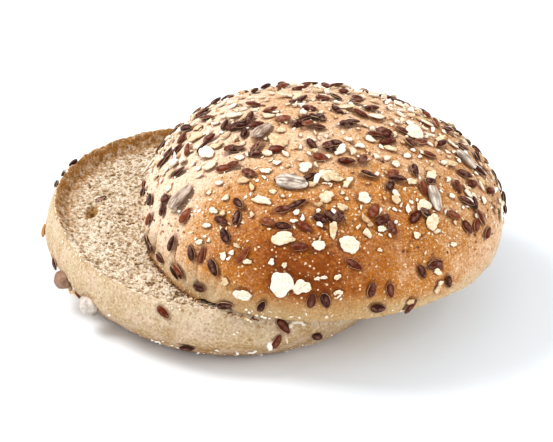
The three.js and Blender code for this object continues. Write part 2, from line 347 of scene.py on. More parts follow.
def crown_in_place(points):
    """Points of the crown's own frame, tilted down to the right and moved on to the heel."""
    x, y, z = np.moveaxis(points, -1, 0)
    tilted_x = x * math.cos(CROWN_TILT) + z * math.sin(CROWN_TILT)
    tilted_z = z * math.cos(CROWN_TILT) - x * math.sin(CROWN_TILT)
    return np.stack([tilted_x, y, tilted_z], axis=-1) + CROWN_PLACE


def crown_surface(azimuth, drop):
    """The crown's side and dome where they lie on the heel."""
    return crown_in_place(crown_side(azimuth, drop))


print("the crown's top is at", crown_surface(0.0, 0.0).round(1), "mm")

# %% [markdown]
# ## Round sheets without a pole
# A dome or a cut face drawn as rings would crowd its points in the middle. Instead a square grid
# is pressed into a round disc, so that its cells stay nearly alike everywhere. Its border is a
# loop of points, from which a skirt of rings goes on round the edge and closes the piece.


# %% Disc grids
DISC_CELLS = 308


def disc_grid(cells):
    """A square grid pressed into a disc: each coordinate is shortened by the square root of one
    less half the other's square. Gives azimuth and reach, from 0 to 1, of each point."""
    line = np.linspace(-1, 1, cells + 1)
    across, along = np.meshgrid(line, line)
    x = across * np.sqrt(1 - along**2 / 2)
    y = along * np.sqrt(1 - across**2 / 2)
    return np.degrees(np.arctan2(y, x)), np.hypot(x, y)


def disc_faces(cells, skirts):
    """Faces of a disc grid and of the skirt rings under its border, closed by one last point."""
    size = cells + 1
    number = np.arange(size * size).reshape(size, size)
    quads = np.stack([number[:-1, :-1], number[:-1, 1:], number[1:, 1:], number[1:, :-1]], axis=-1)
    loop = disc_border(number)
    around = len(loop)
    rings = [loop] + [size * size + level * around + np.arange(around) for level in range(skirts)]
    walls = [
        np.stack([low, np.roll(low, -1), np.roll(high, -1), high], axis=-1)
        for high, low in zip(rings, rings[1:])
    ]
    last = np.full(around, size * size + skirts * around)
    floor_part = np.stack([last, np.roll(rings[-1], -1), rings[-1]], axis=-1)
    return np.concatenate([quads.reshape(-1, 4), *walls]), floor_part


def disc_border(values):
    """The border of a square array, once round from its first corner."""
    return np.concatenate([values[0, :-1], values[:-1, -1], values[-1, :0:-1], values[:0:-1, 0]])


def disc_outward(grid):
    """Outward directions of a disc grid: the way across crossed with the way along."""
    normal = np.cross(np.gradient(grid, axis=1), np.gradient(grid, axis=0))
    return normal / np.linalg.norm(normal, axis=-1, keepdims=True)


disc_azimuth, disc_reach = disc_grid(DISC_CELLS)
border_azimuth = disc_border(disc_azimuth)
print("a disc has", disc_azimuth.size, "points and a border of", border_azimuth.size)

# %% [markdown]
# ## Finishes
# Every finish is a small tree of nodes on Object coordinates, which are metres here, so a texture
# scale of 1000 makes spots of about a millimetre. Values worked out with a piece's shape, such as
# how long it baked or how deep a pore is, come in as attributes. The helpers below only shorten
# the making and joining of nodes.


# %% Finish helpers
BLACK = (0, 0, 0)
WHITE = (1, 1, 1)


class Finish:
    """A material under construction: its tree, its shader, and short ways to add nodes."""

    def __init__(self, name, roughness, specular):
        self.material = bpy.data.materials.new(name)
        self.material.use_nodes = True
        self.tree = self.material.node_tree
        self.shader = self.tree.nodes["Principled BSDF"]
        self.shader.inputs["Roughness"].default_value = roughness
        self.shader.inputs["Specular IOR Level"].default_value = specular
        self.place = self.add("ShaderNodeTexCoord").outputs["Object"]

    def add(self, kind, inputs=None, **settings):
        """A node with its settings, whose inputs are numbers, colours or other nodes' outputs."""
        node = self.tree.nodes.new(kind)
        for setting, value in settings.items():
            setattr(node, setting, value)
        for socket, value in (inputs or {}).items():
            if isinstance(value, bpy.types.NodeSocket):
                self.tree.links.new(value, node.inputs[socket])
            else:
                node.inputs[socket].default_value = value
        return node

    def attribute(self, name, output="Fac"):
        """The value that the piece holds for each point."""
        return self.add("ShaderNodeAttribute", attribute_name=name).outputs[output]

    def noise(self, size, detail=3.0, place=None):
        """Noise from 0 to 1 with spots of a size in metres."""
        inputs = {"Vector": place or self.place, "Scale": 1 / size, "Detail": detail}
        return self.add("ShaderNodeTexNoise", inputs).outputs["Fac"]

    def math(self, operation, first, second=0.0, clamp=False):
        """Two values put together."""
        inputs = {0: first, 1: second}
        return self.add("ShaderNodeMath", inputs, operation=operation, use_clamp=clamp).outputs[0]

    def ramp(self, value, stops):
        """A colour or grey for each value, blended between stops of (position, colour)."""
        node = self.add("ShaderNodeValToRGB", {"Fac": value})
        elements = node.color_ramp.elements
        for _ in stops[2:]:
            elements.new(0.5)
        for element, (position, colour) in zip(elements, stops):
            element.position = position
            element.color = (*colour, 1)
        return node.outputs["Color"]

    def mix(self, share, first, second):
        """One colour painted over another by a share."""
        node = self.add("ShaderNodeMix", data_type="RGBA")
        for socket, value in ((node.inputs[0], share), (node.inputs[6], first), (node.inputs[7], second)):
            if isinstance(value, bpy.types.NodeSocket):
                self.tree.links.new(value, socket)
            else:
                socket.default_value = value if isinstance(value, float) else (*value, 1)
        return node.outputs[2]

    def specks(self, size, kept, reach, place=None):
        """Round specks, one to a cell of a size in metres: a share of the cells keeps its speck,
        which reaches so far into the cell. From 0 outside a speck to 1 inside."""
        cells = self.add("ShaderNodeTexVoronoi", {"Vector": place or self.place, "Scale": 1 / size})
        near = self.math("LESS_THAN", cells.outputs["Distance"], reach)
        pick = self.add("ShaderNodeSeparateColor", {"Color": cells.outputs["Color"]}).outputs["Red"]
        return self.math("MULTIPLY", near, self.math("LESS_THAN", pick, kept))

    def patches(self, size, detail, low, high):
        """Patches of noise with spots of a size in metres: 0 below low, 1 above high."""
        return self.ramp(self.noise(size, detail), [(low, BLACK), (high, WHITE)])

    def clouded(self, value, size, detail, share, middle=0.5):
        """A value raised and lowered by a share of the noise about its middle."""
        around = self.math("SUBTRACT", self.noise(size, detail), middle)
        return self.math("ADD", value, self.math("MULTIPLY", around, share))

    def cover(self, colour, mask, share, top):
        """A colour with another painted over it, as far as a mask says and at most by a share."""
        return self.mix(self.math("MULTIPLY", mask, share), colour, top)

    def specked(self, colour, kinds):
        """A colour with specks on it. A kind has a size, the share of cells that keep their speck,
        its reach, its strength and its colour."""
        for size, kept, reach, share, top in kinds:
            colour = self.cover(colour, self.specks(size, kept, reach), share, top)
        return colour

    def soften(self, weight, reach):
        """Lets a share of the light into the piece, with its reach in millimetres for red, green
        and blue."""
        self.shader.inputs["Subsurface Weight"].default_value = weight
        self.shader.inputs["Subsurface Radius"].default_value = reach
        self.shader.inputs["Subsurface Scale"].default_value = MM

    def paint(self, colour):
        """The finish's colour."""
        self.tree.links.new(colour, self.shader.inputs["Base Color"])

    def emboss(self, height, depth, strength=1.0):
        """Fine relief from a height between 0 and 1, as deep as depth in metres."""
        bump = self.add("ShaderNodeBump", {"Height": height, "Distance": depth, "Strength": strength})
        self.tree.links.new(bump.outputs["Normal"], self.shader.inputs["Normal"])


def srgb(red, green, blue):
    """A colour given as screen values from 0 to 255, as the linear values that shaders take."""
    screen = np.array([red, green, blue]) / 255
    linear = np.where(screen <= 0.04045, screen / 12.92, ((screen + 0.055) / 1.055) ** 2.4)
    return tuple(float(value) for value in linear)


# %% Bread finishes
def golden_crust():
    """The crown's crust: pale where it baked least and deep orange brown where most, with painted
    shade in the ring round a topping, floury patches, a pale and a dark grain, specks of flour and
    bran, and a dull band low on the front, partly paler dough where it touched its neighbours in
    the oven and partly painted shade."""
    finish = Finish("golden_crust", roughness=0.5, specular=0.12)
    baked = finish.attribute("baked")
    for size, share in ((0.0036, 0.4), (0.0009, 0.5)):
        baked = finish.clouded(baked, size, 4, share)
    colour = finish.ramp(baked, [
        (0.0, srgb(238, 212, 186)),
        (0.28, srgb(212, 168, 124)),
        (0.55, srgb(184, 118, 42)),
        (0.8, srgb(162, 88, 2)),
        (1.0, srgb(126, 58, 0)),
    ])
    less_baked = finish.math("SUBTRACT", 0.75, finish.math("MULTIPLY", baked, 0.75), clamp=True)
    floury = finish.math("MULTIPLY", less_baked, 0.6)
    colour = finish.cover(colour, finish.patches(0.0075, 5, 0.5, 0.72), floury, srgb(234, 202, 172))
    colour = finish.cover(colour, finish.patches(0.00055, 2, 0.52, 0.62), less_baked, srgb(242, 214, 182))
    gritty = finish.math("SUBTRACT", 0.62, finish.math("MULTIPLY", less_baked, 0.4))
    colour = finish.cover(colour, finish.patches(0.0008, 3, 0.54, 0.66), gritty, srgb(142, 76, 26))
    colour = finish.specked(colour, (
        (0.0012, 0.14, 0.29, 0.8, srgb(242, 216, 176)), (0.0008, 0.1, 0.29, 0.7, srgb(242, 216, 178)),
        (0.0009, 0.16, 0.29, 0.6, srgb(120, 58, 24)), (0.0019, 0.1, 0.29, 0.5, srgb(112, 52, 22)),
    ))
    # The dull band low on the front: paler dough where it touched its neighbours in the oven, and partly
    # painted shade.
    colour = finish.cover(colour, finish.attribute("band"), 0.55, srgb(174, 152, 106))
    # Painted shade: the crust is darkened in the ring round each topping.
    ring = finish.math("POWER", finish.attribute("ring"), 2.0)
    finish.paint(finish.cover(colour, ring, 0.6, srgb(112, 52, 18)))
    coarse = finish.math("MULTIPLY", finish.noise(0.0026, 2), 0.8)
    finish.emboss(finish.math("ADD", finish.noise(0.0008, 4), coarse), 0.0006, 1.0)
    return finish.material


def pale_crust():
    """The heel's crust: soft beige with paler pinkish patches, browned where it stood on the tray,
    with painted shade in the ring round a topping, clouds, pale scuffs and bran specks of two sizes."""
    finish = Finish("pale_crust", roughness=0.7, specular=0.25)
    baked = finish.attribute("baked")
    for size, share in ((0.0042, 0.4), (0.0012, 0.3)):
        baked = finish.clouded(baked, size, 4, share)
    colour = finish.ramp(baked, [
        (0.0, srgb(200, 178, 146)),
        (0.3, srgb(176, 144, 98)),
        (0.6, srgb(146, 100, 40)),
        (1.0, srgb(128, 72, 10)),
    ])
    colour = finish.cover(colour, finish.patches(0.0055, 4, 0.46, 0.62), 0.5, srgb(212, 184, 160))
    # Painted shade: the crust is darkened in the ring round each topping.
    colour = finish.cover(colour, finish.attribute("ring"), finish.noise(0.0015, 3), srgb(128, 74, 32))
    colour = finish.cover(colour, finish.patches(0.0008, 2, 0.48, 0.62), 0.4, srgb(236, 216, 186))
    colour = finish.cover(colour, finish.patches(0.0007, 3, 0.54, 0.66), 0.5, srgb(140, 96, 56))
    bran = srgb(136, 92, 50)
    finish.paint(finish.specked(colour, ((0.0013, 0.25, 0.3, 0.4, bran), (0.0028, 0.12, 0.2, 0.55, bran))))
    coarse = finish.math("MULTIPLY", finish.noise(0.003, 2), 0.9)
    finish.emboss(finish.math("ADD", finish.noise(0.0008, 4), coarse), 0.00045, 0.9)
    return finish.material


def crumb_finish():
    """Cut and torn crumb: cream where a cell's wall was cut, with painted shade of grey brown down in
    the pores and in a finer sponge of pores, bran specks, and golden brown on the torn lip, where its
    crust browned, with painted shade on the lip's inner wall, on the crumb beside it at the back left
    and inside the large hole."""
    finish = Finish("crumb", roughness=0.85, specular=0.15)
    cells = finish.add("ShaderNodeTexVoronoi", {"Vector": finish.place, "Scale": 1050.0})
    sponge = finish.math("SUBTRACT", 0.62, cells.outputs["Distance"])
    # Painted shade: the deeper a point lies in a pore, and the further inside a cell of the finer sponge, the
    # darker its colour.
    deep = finish.math("ADD", finish.attribute("pore"), finish.math("MULTIPLY", sponge, 0.7))
    deep = finish.clouded(deep, 0.0012, 4, 1.1)
    colour = finish.ramp(deep, [
        (0.0, srgb(246, 230, 208)),
        (0.22, srgb(222, 198, 168)),
        (0.46, srgb(180, 150, 112)),
        (0.8, srgb(108, 78, 44)),
    ])
    bran = srgb(124, 88, 56)
    colour = finish.specked(colour, ((0.0014, 0.2, 0.26, 0.6, bran), (0.0036, 0.12, 0.17, 0.8, bran)))
    toast = finish.clouded(finish.attribute("toast"), 0.0009, 4, 1.3)
    toast = finish.ramp(toast, [(0.25, BLACK), (0.95, WHITE)])
    finish.paint(finish.cover(colour, toast, 0.94, srgb(162, 106, 38)))
    height = finish.math("SUBTRACT", finish.noise(0.0005, 4), finish.math("MULTIPLY", sponge, 0.9))
    finish.emboss(height, 0.0007, 1.0)
    finish.soften(0.08, (1.0, 0.6, 0.35))
    return finish.material


# %% [markdown]
# ## The crown's crust
# The crust is one thin skin over the dome and down to the cut, where it curls in to meet the
# crumb. It could be a subdivided ball with a displacement texture, but then its relief would be
# lost outside the render. So the disc grid is laid over the dome by its arc length, and lumps,
# wrinkles and creases, most of them low on the left, move its points along their outward
# directions. Where the crown lies inside the heel's rim, its soft edge sags on to the heel's
# crumb. How brown the crust is at a point is a sum of browned and paler sides, each of which
# starts and ends at its own height. The paler left side and the paler low right side are partly
# painted light, the creases carry painted shade with painted highlights beside them, and the edge
# over the crumb and the curl under it are darkened as painted shade.

# %% Crown crust
CROWN_RELIEF = (  # broad lumps, wrinkles and grain
    {"size": 17.0, "depth": 0.38, "stream": 1},
    {"size": 4.6, "depth": 0.15, "stream": 5, "layers": 2},
    {"size": 1.5, "depth": 0.05, "stream": 9},
)
BROWNEST_SIDE = 267
GOLDEN_SIDE = 8
PEACH_SIDE = 226
PALEST_SIDE = 180
RIGHT_SIDE = 345
BAKED_ON_TOP = 0.3
BAKED_CLOUDS = 0.14
ALWAYS = (-2, -1)  # for what has started at every drop
NEVER = (101, 102)  # for what ends at no drop
LOW_DROPS = (72, 88)
# Each change in how baked the crust is: by how much, towards which side, how narrowly, and the
# drops over which it starts and ends. The paler left side and the paler right side low down are
# partly painted light.
BROWNING = (
    (0.13, BROWNEST_SIDE, 1, (5, 30), NEVER),
    (-0.09, BROWNEST_SIDE, 0, (5, 30), NEVER),
    (0.56, BROWNEST_SIDE, 6, (21, 58), NEVER),
    (-0.02, BROWNEST_SIDE, 0, (21, 58), NEVER),
    (0.2, GOLDEN_SIDE, 7, (25, 45), LOW_DROPS),
    (0.05, PEACH_SIDE, 9, (25, 45), LOW_DROPS),
    (-0.08, RIGHT_SIDE, 4, LOW_DROPS, NEVER),
    (-0.42, PALEST_SIDE, 7, (5, 50), NEVER),
)
# The same for how baked the pale band above the cut is; its paler right side is partly painted light.
BAND_BROWNING = (
    (0.08, BROWNEST_SIDE, 0, ALWAYS, NEVER),
    (0.34, BROWNEST_SIDE, 3, ALWAYS, NEVER),
    (-0.08, RIGHT_SIDE, 4, ALWAYS, NEVER),
)
# The creases are painted darker, and paler beside them: painted shade in the grooves and painted highlights
# on their sides.
CREASE_SHADE = 0.42
CREASE_SIDES_HIGHLIGHT = 0.34
CREASES = (203, 207.5, 212, 217, 222.5, 228, 236, 296)
CREASE_WIDTH = 1.2
CREASE_DEPTH = 0.9
CUT_RAGGED = 0.3
EDGE_SAG = 1.2
SAG_FROM_RIM = (3.2, 6.0)  # how far inside the heel's rim the sag starts and is whole


def crown_drop(reach):
    """The drop at each share of the way from the top to the cut, measured along the profile."""
    drops = np.linspace(0, 90 + CROWN_DROP_AT_CUT, 400)
    profile = crown_side(0.0, drops)
    lengths = np.concatenate([[0], np.cumsum(np.linalg.norm(np.diff(profile, axis=0), axis=-1))])
    return np.interp(reach, lengths / lengths[-1], drops)


def crease_depth(azimuth, drop, points):
    """Narrow grooves that wander up from the cut: for each, a bell curve of the angle from it."""
    wander = 2.0 * noise(points, 10.0, 31)
    low = smooth_step(drop, 62, 82) * (1 - smooth_step(drop, 95, 100))
    total = np.zeros_like(azimuth)
    for number, side in enumerate(CREASES):
        away = (azimuth - side - wander + 180) % 360 - 180
        total += np.exp(-((away / CREASE_WIDTH) ** 2)) * (0.6 + 0.4 * math.cos(2.3 * number))
    return total * low


def crown_relief(azimuth, drop, points):
    """How far the crust stands out from the plain dome."""
    relief = sum(lumps(points, **kind) for kind in CROWN_RELIEF)
    return relief - CREASE_DEPTH * crease_depth(azimuth, drop, points)


def low_band(azimuth, drop, points):
    """The pale band above the cut, from 0 to 1. Its upper limit wavers, and is lower on the
    right."""
    right = smooth_step(np.cos(np.radians(azimuth - RIGHT_SIDE)), 0.45, 0.85)
    return smooth_step(drop + 2.5 * noise(points, 7.0, 45), 82 + 10 * right, 99)


def changes(kinds, azimuth, drop):
    """The sum of changes: each as far as the azimuth is turned to its side, raised to the power
    of how narrow it is, from the drops over which it starts to those over which it ends."""
    return sum(
        most * turned_to(azimuth, side) ** narrow * smooth_step(drop, *start) * (1 - smooth_step(drop, *end))
        for most, side, narrow, start, end in kinds
    )


def crown_baked(azimuth, drop, points):
    """How much the crust has browned: most low on the front, well half way down on the right,
    a little there on the front left, less on the left, and least near the cut. Its paler left side
    and its paler right side low down are partly painted light, and its creases carry painted shade
    with painted highlights beside them."""
    browned = BAKED_ON_TOP + BAKED_CLOUDS * layered(points, 13.0, 41, 3) + changes(BROWNING, azimuth, drop)
    paling = low_band(azimuth, drop, points)
    browned = browned * (1 - paling) + changes(BAND_BROWNING, azimuth, drop) * paling
    creased = crease_depth(azimuth, drop, points)
    beside_crease = np.clip(4 * creased * (1 - creased), 0, 1)
    return np.clip(browned + CREASE_SHADE * creased - CREASE_SIDES_HIGHLIGHT * beside_crease, 0, 1)


def over_crumb(points):
    """Where points of the crown lie over the heel's crumb, inside its lip: from 0 to 1."""
    x, y, _ = np.moveaxis(crown_in_place(points), -1, 0)
    rim = HEEL_RIM_RADIUS * outline(np.degrees(np.arctan2(y, x)), HEEL_OVAL, HEEL_THREE_LOBES)
    return smooth_step(rim - np.hypot(x, y), *SAG_FROM_RIM)


azimuth = disc_azimuth % 360
drop = crown_drop(disc_reach)
plain_dome = crown_side(azimuth, drop)
crust_grid = plain_dome + disc_outward(plain_dome) * crown_relief(azimuth, drop, plain_dome)[..., None]
low_share = smooth_step(drop, 94, 100)
ragged = CUT_RAGGED * (layered(plain_dome, 1.8, 51, 2) - 0.2)
crust_grid[..., 2] += low_share * (ragged - EDGE_SAG * over_crumb(plain_dome))
crown_edge = disc_border(crust_grid)

# Inward from the crust's lower edge: how far in, and how much higher.
CROWN_CURL = ((0.45, -0.05), (1.1, 0.25), (3.0, 2.6))
# The curl in under the edge gets the brownest crust, which also paints the gap under the edge dark as painted
# shade.
CURL_BROWN_AND_SHADE = 1.0
EDGE_SHADE = 0.6  # how much darker the crust is painted along its edge, where it lies over the crumb: painted shade


def curl_rings(edge, steps):
    """Rings that go on from an edge: drawn in towards the middle by a length, and lifted."""
    length = np.linalg.norm(edge[:, :2], axis=1, keepdims=True)
    rings = []
    for inward, lift in steps:
        ring = edge.copy()
        ring[:, :2] *= 1 - inward / length
        ring[:, 2] += lift
        rings.append(ring)
    return rings


crown_rings = curl_rings(crown_edge, CROWN_CURL)
crown_points = np.concatenate([crust_grid.reshape(-1, 3), *crown_rings, [[0, 0, CROWN_CURL[-1][1]]]])
baked = crown_baked(azimuth, drop, plain_dome)
# Along the edge over the crumb the crust is darkened: painted shade in the crevice.
baked = (baked + EDGE_SHADE * over_crumb(plain_dome) * smooth_step(drop, 97.5, 99.5)).ravel()
curl_count = len(crown_points) - len(baked)
baked = np.concatenate([baked, np.full(curl_count, CURL_BROWN_AND_SHADE)])
# How far the crust faces the front, where the dull band is partly painted shade.
touched_and_shaded = turned_to(azimuth, BROWNEST_SIDE)
band = np.concatenate([(touched_and_shaded * low_band(azimuth, drop, plain_dome)).ravel(), np.zeros(curl_count)])
crown_crust = new_piece(
    "crown_crust", crown_in_place(crown_points), disc_faces(DISC_CELLS, len(CROWN_CURL)),
    "golden_crust", ["crown"], baked=baked, band=band,
)
crown_crust.data.materials.append(golden_crust())

# %% [markdown]
# ## Crumb
# A cut face of crumb is a flat with bubbles cut open in it. The disc grid is moved down wherever
# a point lies in one of the chance bubbles of three sizes, and the depth is kept as an attribute
# that darkens the pores as painted shade. A skirt closes the sheet into a thin slab, tucked into
# the crust, and is given the darkest painted shade.

# %% Crumb faces
CRUMB_BUBBLES = (
    {"size": 2.6, "filled": 0.16, "depth": 0.55, "stream": 61},
    {"size": 1.35, "filled": 0.7, "depth": 0.5, "stream": 71},
    {"size": 0.95, "filled": 0.95, "depth": 0.46, "stream": 81},
)
CRUMB_SWELL = 0.3
CRUMB_TOOTH = 0.14
CRUMB_EDGE = ((0.2, -0.6), (0.2, -2.0))


def crumb_relief(points):
    """How deep the open pores go, and how the whole face swells between them."""
    pits = np.zeros(points.shape[:-1])
    warped = points + np.stack([0.45 * noise(points, 1.2, 91 + axis) for axis in range(3)], axis=-1)
    for kind in CRUMB_BUBBLES:
        depth = kind["depth"] * bubbles(warped, kind["size"], kind["stream"], kind["filled"])
        pits = np.maximum(pits, depth) + 0.35 * np.minimum(pits, depth)
    swell = CRUMB_SWELL * noise(points, 9.0, 95) + CRUMB_TOOTH * noise(points, 0.8, 97)
    return pits, swell


def crumb_slab(plain, hole=0.0):
    """A slab of crumb with a cut face up: its points, and how deep in a pore each one is. A hole
    is a depth for each point, of one large bubble more."""
    pits, swell = crumb_relief(plain)
    face = plain.copy()
    face[..., 2] += swell - np.maximum(pits, hole)
    pits = np.maximum(pits, 0.4 * hole)
    rings = curl_rings(disc_border(plain), CRUMB_EDGE)
    bottom = [[0, 0, plain[..., 2].min() + CRUMB_EDGE[-1][1]]]
    points = np.concatenate([face.reshape(-1, 3), *rings, bottom])
    # How deep each point lies in a pore, which the crumb's finish turns into painted shade; the skirt gets
    # the darkest.
    deep = np.clip(pits.ravel() / 0.75 - 0.2, 0, 1)
    return points, np.concatenate([deep, np.ones(len(points) - len(deep))])


HEEL_CRUMB_INWARD = 2.3
HEEL_CRUMB_RISE = 0.5
crumb_radius = HEEL_RIM_RADIUS * outline(disc_azimuth, HEEL_OVAL, HEEL_THREE_LOBES) - HEEL_CRUMB_INWARD
dish = CRUMB_LEVEL + HEEL_CRUMB_RISE * smooth_step(disc_reach, 0.9, 1.0)
plain_cut = point_at(disc_azimuth, crumb_radius * disc_reach, dish)

HOLE_PIXEL = np.array([[92.0, 211.0]])
HOLE_ALONG = np.array([0.2, 0.98])  # the level direction of the hole's length
HOLE_HALF_LENGTH = 4.6
HOLE_HALF_WIDTH = 2.0
HOLE_DEPTH = 1.7
from_hole = (plain_cut - seen_on_level(HOLE_PIXEL, CRUMB_LEVEL)[0])[..., :2]
hole_length = from_hole @ HOLE_ALONG / HOLE_HALF_LENGTH
hole_width = from_hole @ (HOLE_ALONG[::-1] * [1, -1]) / HOLE_HALF_WIDTH
hole = HOLE_DEPTH * np.sqrt(np.clip(1 - hole_length**2 - hole_width**2, 0, 1))

LIP_SHADE_REACH = 6.0  # how far in from the raised lip the crumb is darkest, as painted shade
LIP_SHADE_FADE = 22.0  # and how far in the painted shade reaches at all
behind = smooth_step(np.cos(np.radians(disc_azimuth - LIP_RAISED_SIDE)), 0.2, 0.9)
inward_from_lip = crumb_radius * (disc_reach - 1)
near_lip = 0.7 * smooth_step(inward_from_lip, -LIP_SHADE_REACH, 0)
near_lip = near_lip + 0.5 * smooth_step(inward_from_lip, -LIP_SHADE_FADE, 0)
# Painted shade: the crumb is browned beside the raised lip at the back left, and inside the hole.
crumb_toast = 0.7 * behind * near_lip + 0.65 * hole / HOLE_DEPTH
heel_face, heel_pore_shade = crumb_slab(plain_cut, hole)
crumb = crumb_finish()
under_edge = np.zeros(len(heel_face) - crumb_toast.size)
heel_crumb = new_piece(
    "heel_crumb", heel_face, disc_faces(DISC_CELLS, len(CRUMB_EDGE)), "crumb", ["heel"],
    pore=heel_pore_shade, toast=np.concatenate([crumb_toast.ravel(), under_edge]),
)
heel_crumb.data.materials.append(crumb)

CROWN_CRUMB_INWARD = 0.8
CROWN_CRUMB_LEVEL = 0.2
HALF_TURN = np.array([1, -1, -1])  # about X, which brings the cut face to look down
crumb_radius = CROWN_CUT_RADIUS * outline(-disc_azimuth, CROWN_OVAL, CROWN_THREE_LOBES) - CROWN_CRUMB_INWARD
plain_cut = point_at(disc_azimuth, crumb_radius * disc_reach, -CROWN_CRUMB_LEVEL)
crown_face, crown_pore_shade = crumb_slab(plain_cut)
crown_face = crown_face * HALF_TURN
crown_crumb = new_piece(
    "crown_crumb", crown_in_place(crown_face), disc_faces(DISC_CELLS, len(CRUMB_EDGE)),
    "crumb", ["crown"], pore=crown_pore_shade,
)
crown_crumb.data.materials.append(crumb)

# %% [markdown]
# ## The heel's crust
# The heel's skin is drawn as rings, because its relief runs round it: a flat underside browned by
# the tray, a soft bulging side, and a torn lip where the knife went through. It is carried on
# over the lip, down its inner wall and in under the crumb, so that it is a closed body. The part
# inside the rim is torn crumb, so those faces get the crumb's finish, golden brown at the back
# left, where the lip stands up: browned crust at its rim and painted shade on its inner wall.

# %% Heel crust
HEEL_AROUND = 680
HEEL_UP = 84
HEEL_RELIEF = (  # broad lumps, wrinkles that run round, and grain
    {"size": 15.0, "depth": 0.4, "stream": 101},
    {"size": 4.2, "depth": 0.16, "stream": 105, "layers": 2, "flatter": 1.7},
    {"size": 1.4, "depth": 0.06, "stream": 109},
)
LIP_TORN = {"size": 1.7, "depth": 0.42}
TRAY_EDGE = 0.12  # the climb over which the relief starts, above the flat underside
# Over the lip and down its inner wall: how far in from the rim, and how high between the
# crumb's level, 0, and the rim's, 1.
LIP_SECTION = (
    (0.25, 1.03), (0.6, 1.02), (0.95, 0.95), (1.3, 0.82), (1.7, 0.66), (2.1, 0.5),
    (2.5, 0.34), (2.9, 0.18), (3.3, 0.04), (3.7, -0.25), (5.0, -1.1),
)
HEEL_CAP_DEPTH = 4.0  # how far below the crumb's level the closed body's inner cap sinks


def heel_relief(climb, points):
    """How far the heel's side stands out, fading to nothing at the flat underside."""
    relief = sum(lumps(points, **kind) for kind in HEEL_RELIEF)
    return relief * smooth_step(climb, 0, TRAY_EDGE)


def torn(points, share):
    """How far the lip's torn edge rises or sinks."""
    return LIP_TORN["depth"] * share * (layered(points, LIP_TORN["size"], 121, 3) - 0.1)


azimuth = np.linspace(0, 360, HEEL_AROUND, endpoint=False)[None, :]
climb = np.linspace(0, 2, HEEL_UP)[:, None]
plain_side = heel_side(azimuth, climb)
side_grid = plain_side + outward(plain_side) * heel_relief(climb + 0 * azimuth, plain_side)[..., None]
side_grid[0, :, 2] = 0
side_grid[..., 2] = np.maximum(side_grid[..., 2] + torn(plain_side, smooth_step(climb, 1.75, 2)), 0)

rim_edge = plain_side[-1]
rim_length = np.linalg.norm(rim_edge[:, :2], axis=1)
raised = (rim_height(azimuth[0]) - CRUMB_LEVEL) / (LIP_HEIGHT + LIP_RAISED)
torn_most = smooth_step(raised, 0.5, 1.0)
lip_rings = []
lip_pore_shade = []
for inward, share in LIP_SECTION:
    level = CRUMB_LEVEL + share * (rim_height(azimuth[0]) - CRUMB_LEVEL)
    ring = rim_edge * [[1, 1, 0]] * (1 - inward / rim_length)[:, None] + level[:, None] * [[0, 0, 1]]
    pits, _ = crumb_relief(ring)
    pits = 0.8 * pits * smooth_step(inward, -0.3, 0.8)
    ring[:, 2] += torn(ring, np.clip(share, 0, 1) * (0.9 - 0.1 * torn_most)) - 0.5 * pits
    push = 0.5 * noise(ring, 2.1, 127) * min(inward, 1) + 0.5 * pits
    ring[:, :2] *= (1 + push / rim_length)[:, None]
    lip_rings.append(ring)
    lip_pore_shade.append(np.clip(pits / 0.6 - 0.05, 0, 1))
heel_grid = np.concatenate([side_grid, np.stack(lip_rings)])


def heel_baked(climb, points):
    """How much the heel's side has browned: most along the tray, more towards the foot, which is
    partly painted shade of its lower side, and at the raised rim, and in clouds."""
    tray = 1 - smooth_step(points[..., 2] + 0.8 * noise(points, 5.0, 131), 0.5, 3.0)
    # Darker towards the foot: partly browning and partly painted shade of the lower side.
    foot = 1 - smooth_step(points[..., 2], 2, 20)
    rim = smooth_step(climb, 1.7, 2.0) * (0.3 + 0.7 * smooth_step(points[..., 2], 21.5, 23))
    clouds = 0.14 * layered(points, 11.0, 133, 3)
    return np.clip(0.05 + 0.46 * tray + 0.42 * foot + 0.3 * rim + clouds, 0, 1)


side_baked = heel_baked(climb + 0 * azimuth, plain_side)
# The torn lip's faces are painted golden brown: browned crust along the rim, and painted shade on the inner
# wall of the raised lip at the back left.
toast_of_lip = np.stack([
    torn_most * (0.55 + 0.35 * smooth_step(share, 0.0, 0.8)) * (0.6 + 0.4 * smooth_step(inward, 0.2, 1.4))
    + 0.2 * (1 - smooth_step(inward, 0.3, 1.2))
    for inward, share in LIP_SECTION
])
heel_points = ring_points([0, 0, 0], heel_grid, [0, 0, CRUMB_LEVEL - HEEL_CAP_DEPTH])
side_zeros = np.zeros(side_grid.shape[0] * HEEL_AROUND)
heel_values = {
    "baked": np.concatenate([[0.8], side_baked.ravel(), 0 * toast_of_lip.ravel(), [0]]),
    "toast": np.concatenate([[0], side_zeros, toast_of_lip.ravel(), [0]]),
    "pore": np.concatenate([[0], side_zeros, np.stack(lip_pore_shade).ravel(), [0]]),
}
heel_faces = ring_faces(len(heel_grid), HEEL_AROUND)
heel_crust = new_piece("heel_crust", heel_points, heel_faces, "pale_crust", ["heel"], **heel_values)
heel_crust.data.materials.append(pale_crust())
heel_crust.data.materials.append(crumb)
finish_of_face = np.zeros(len(heel_crust.data.polygons), dtype=np.int32)
quads_below_lip = (len(side_grid) - 1) * HEEL_AROUND
quads_in_all = (len(heel_grid) - 1) * HEEL_AROUND
finish_of_face[quads_below_lip:quads_in_all] = 1
heel_crust.data.polygons.foreach_set("material_index", finish_of_face)
print("the lip's torn faces:", int(finish_of_face.sum()))

# %% [markdown]
# ## Where toppings lie
# A seed lies flat on the crust, so its place is a point of the surface with three directions:
# along the seed, to its side, and out of the crust. Each half's surface function gives them from
# two nearby points. Seeds that show one by one in the picture are given by the pixel at which
# their middle is seen and by how they lean there, in degrees from level. The nearest of many
# points of the crown, among those that face the camera, says where on the crown that is.

# %% Places on the bun
SURFACE_STEP = 0.5


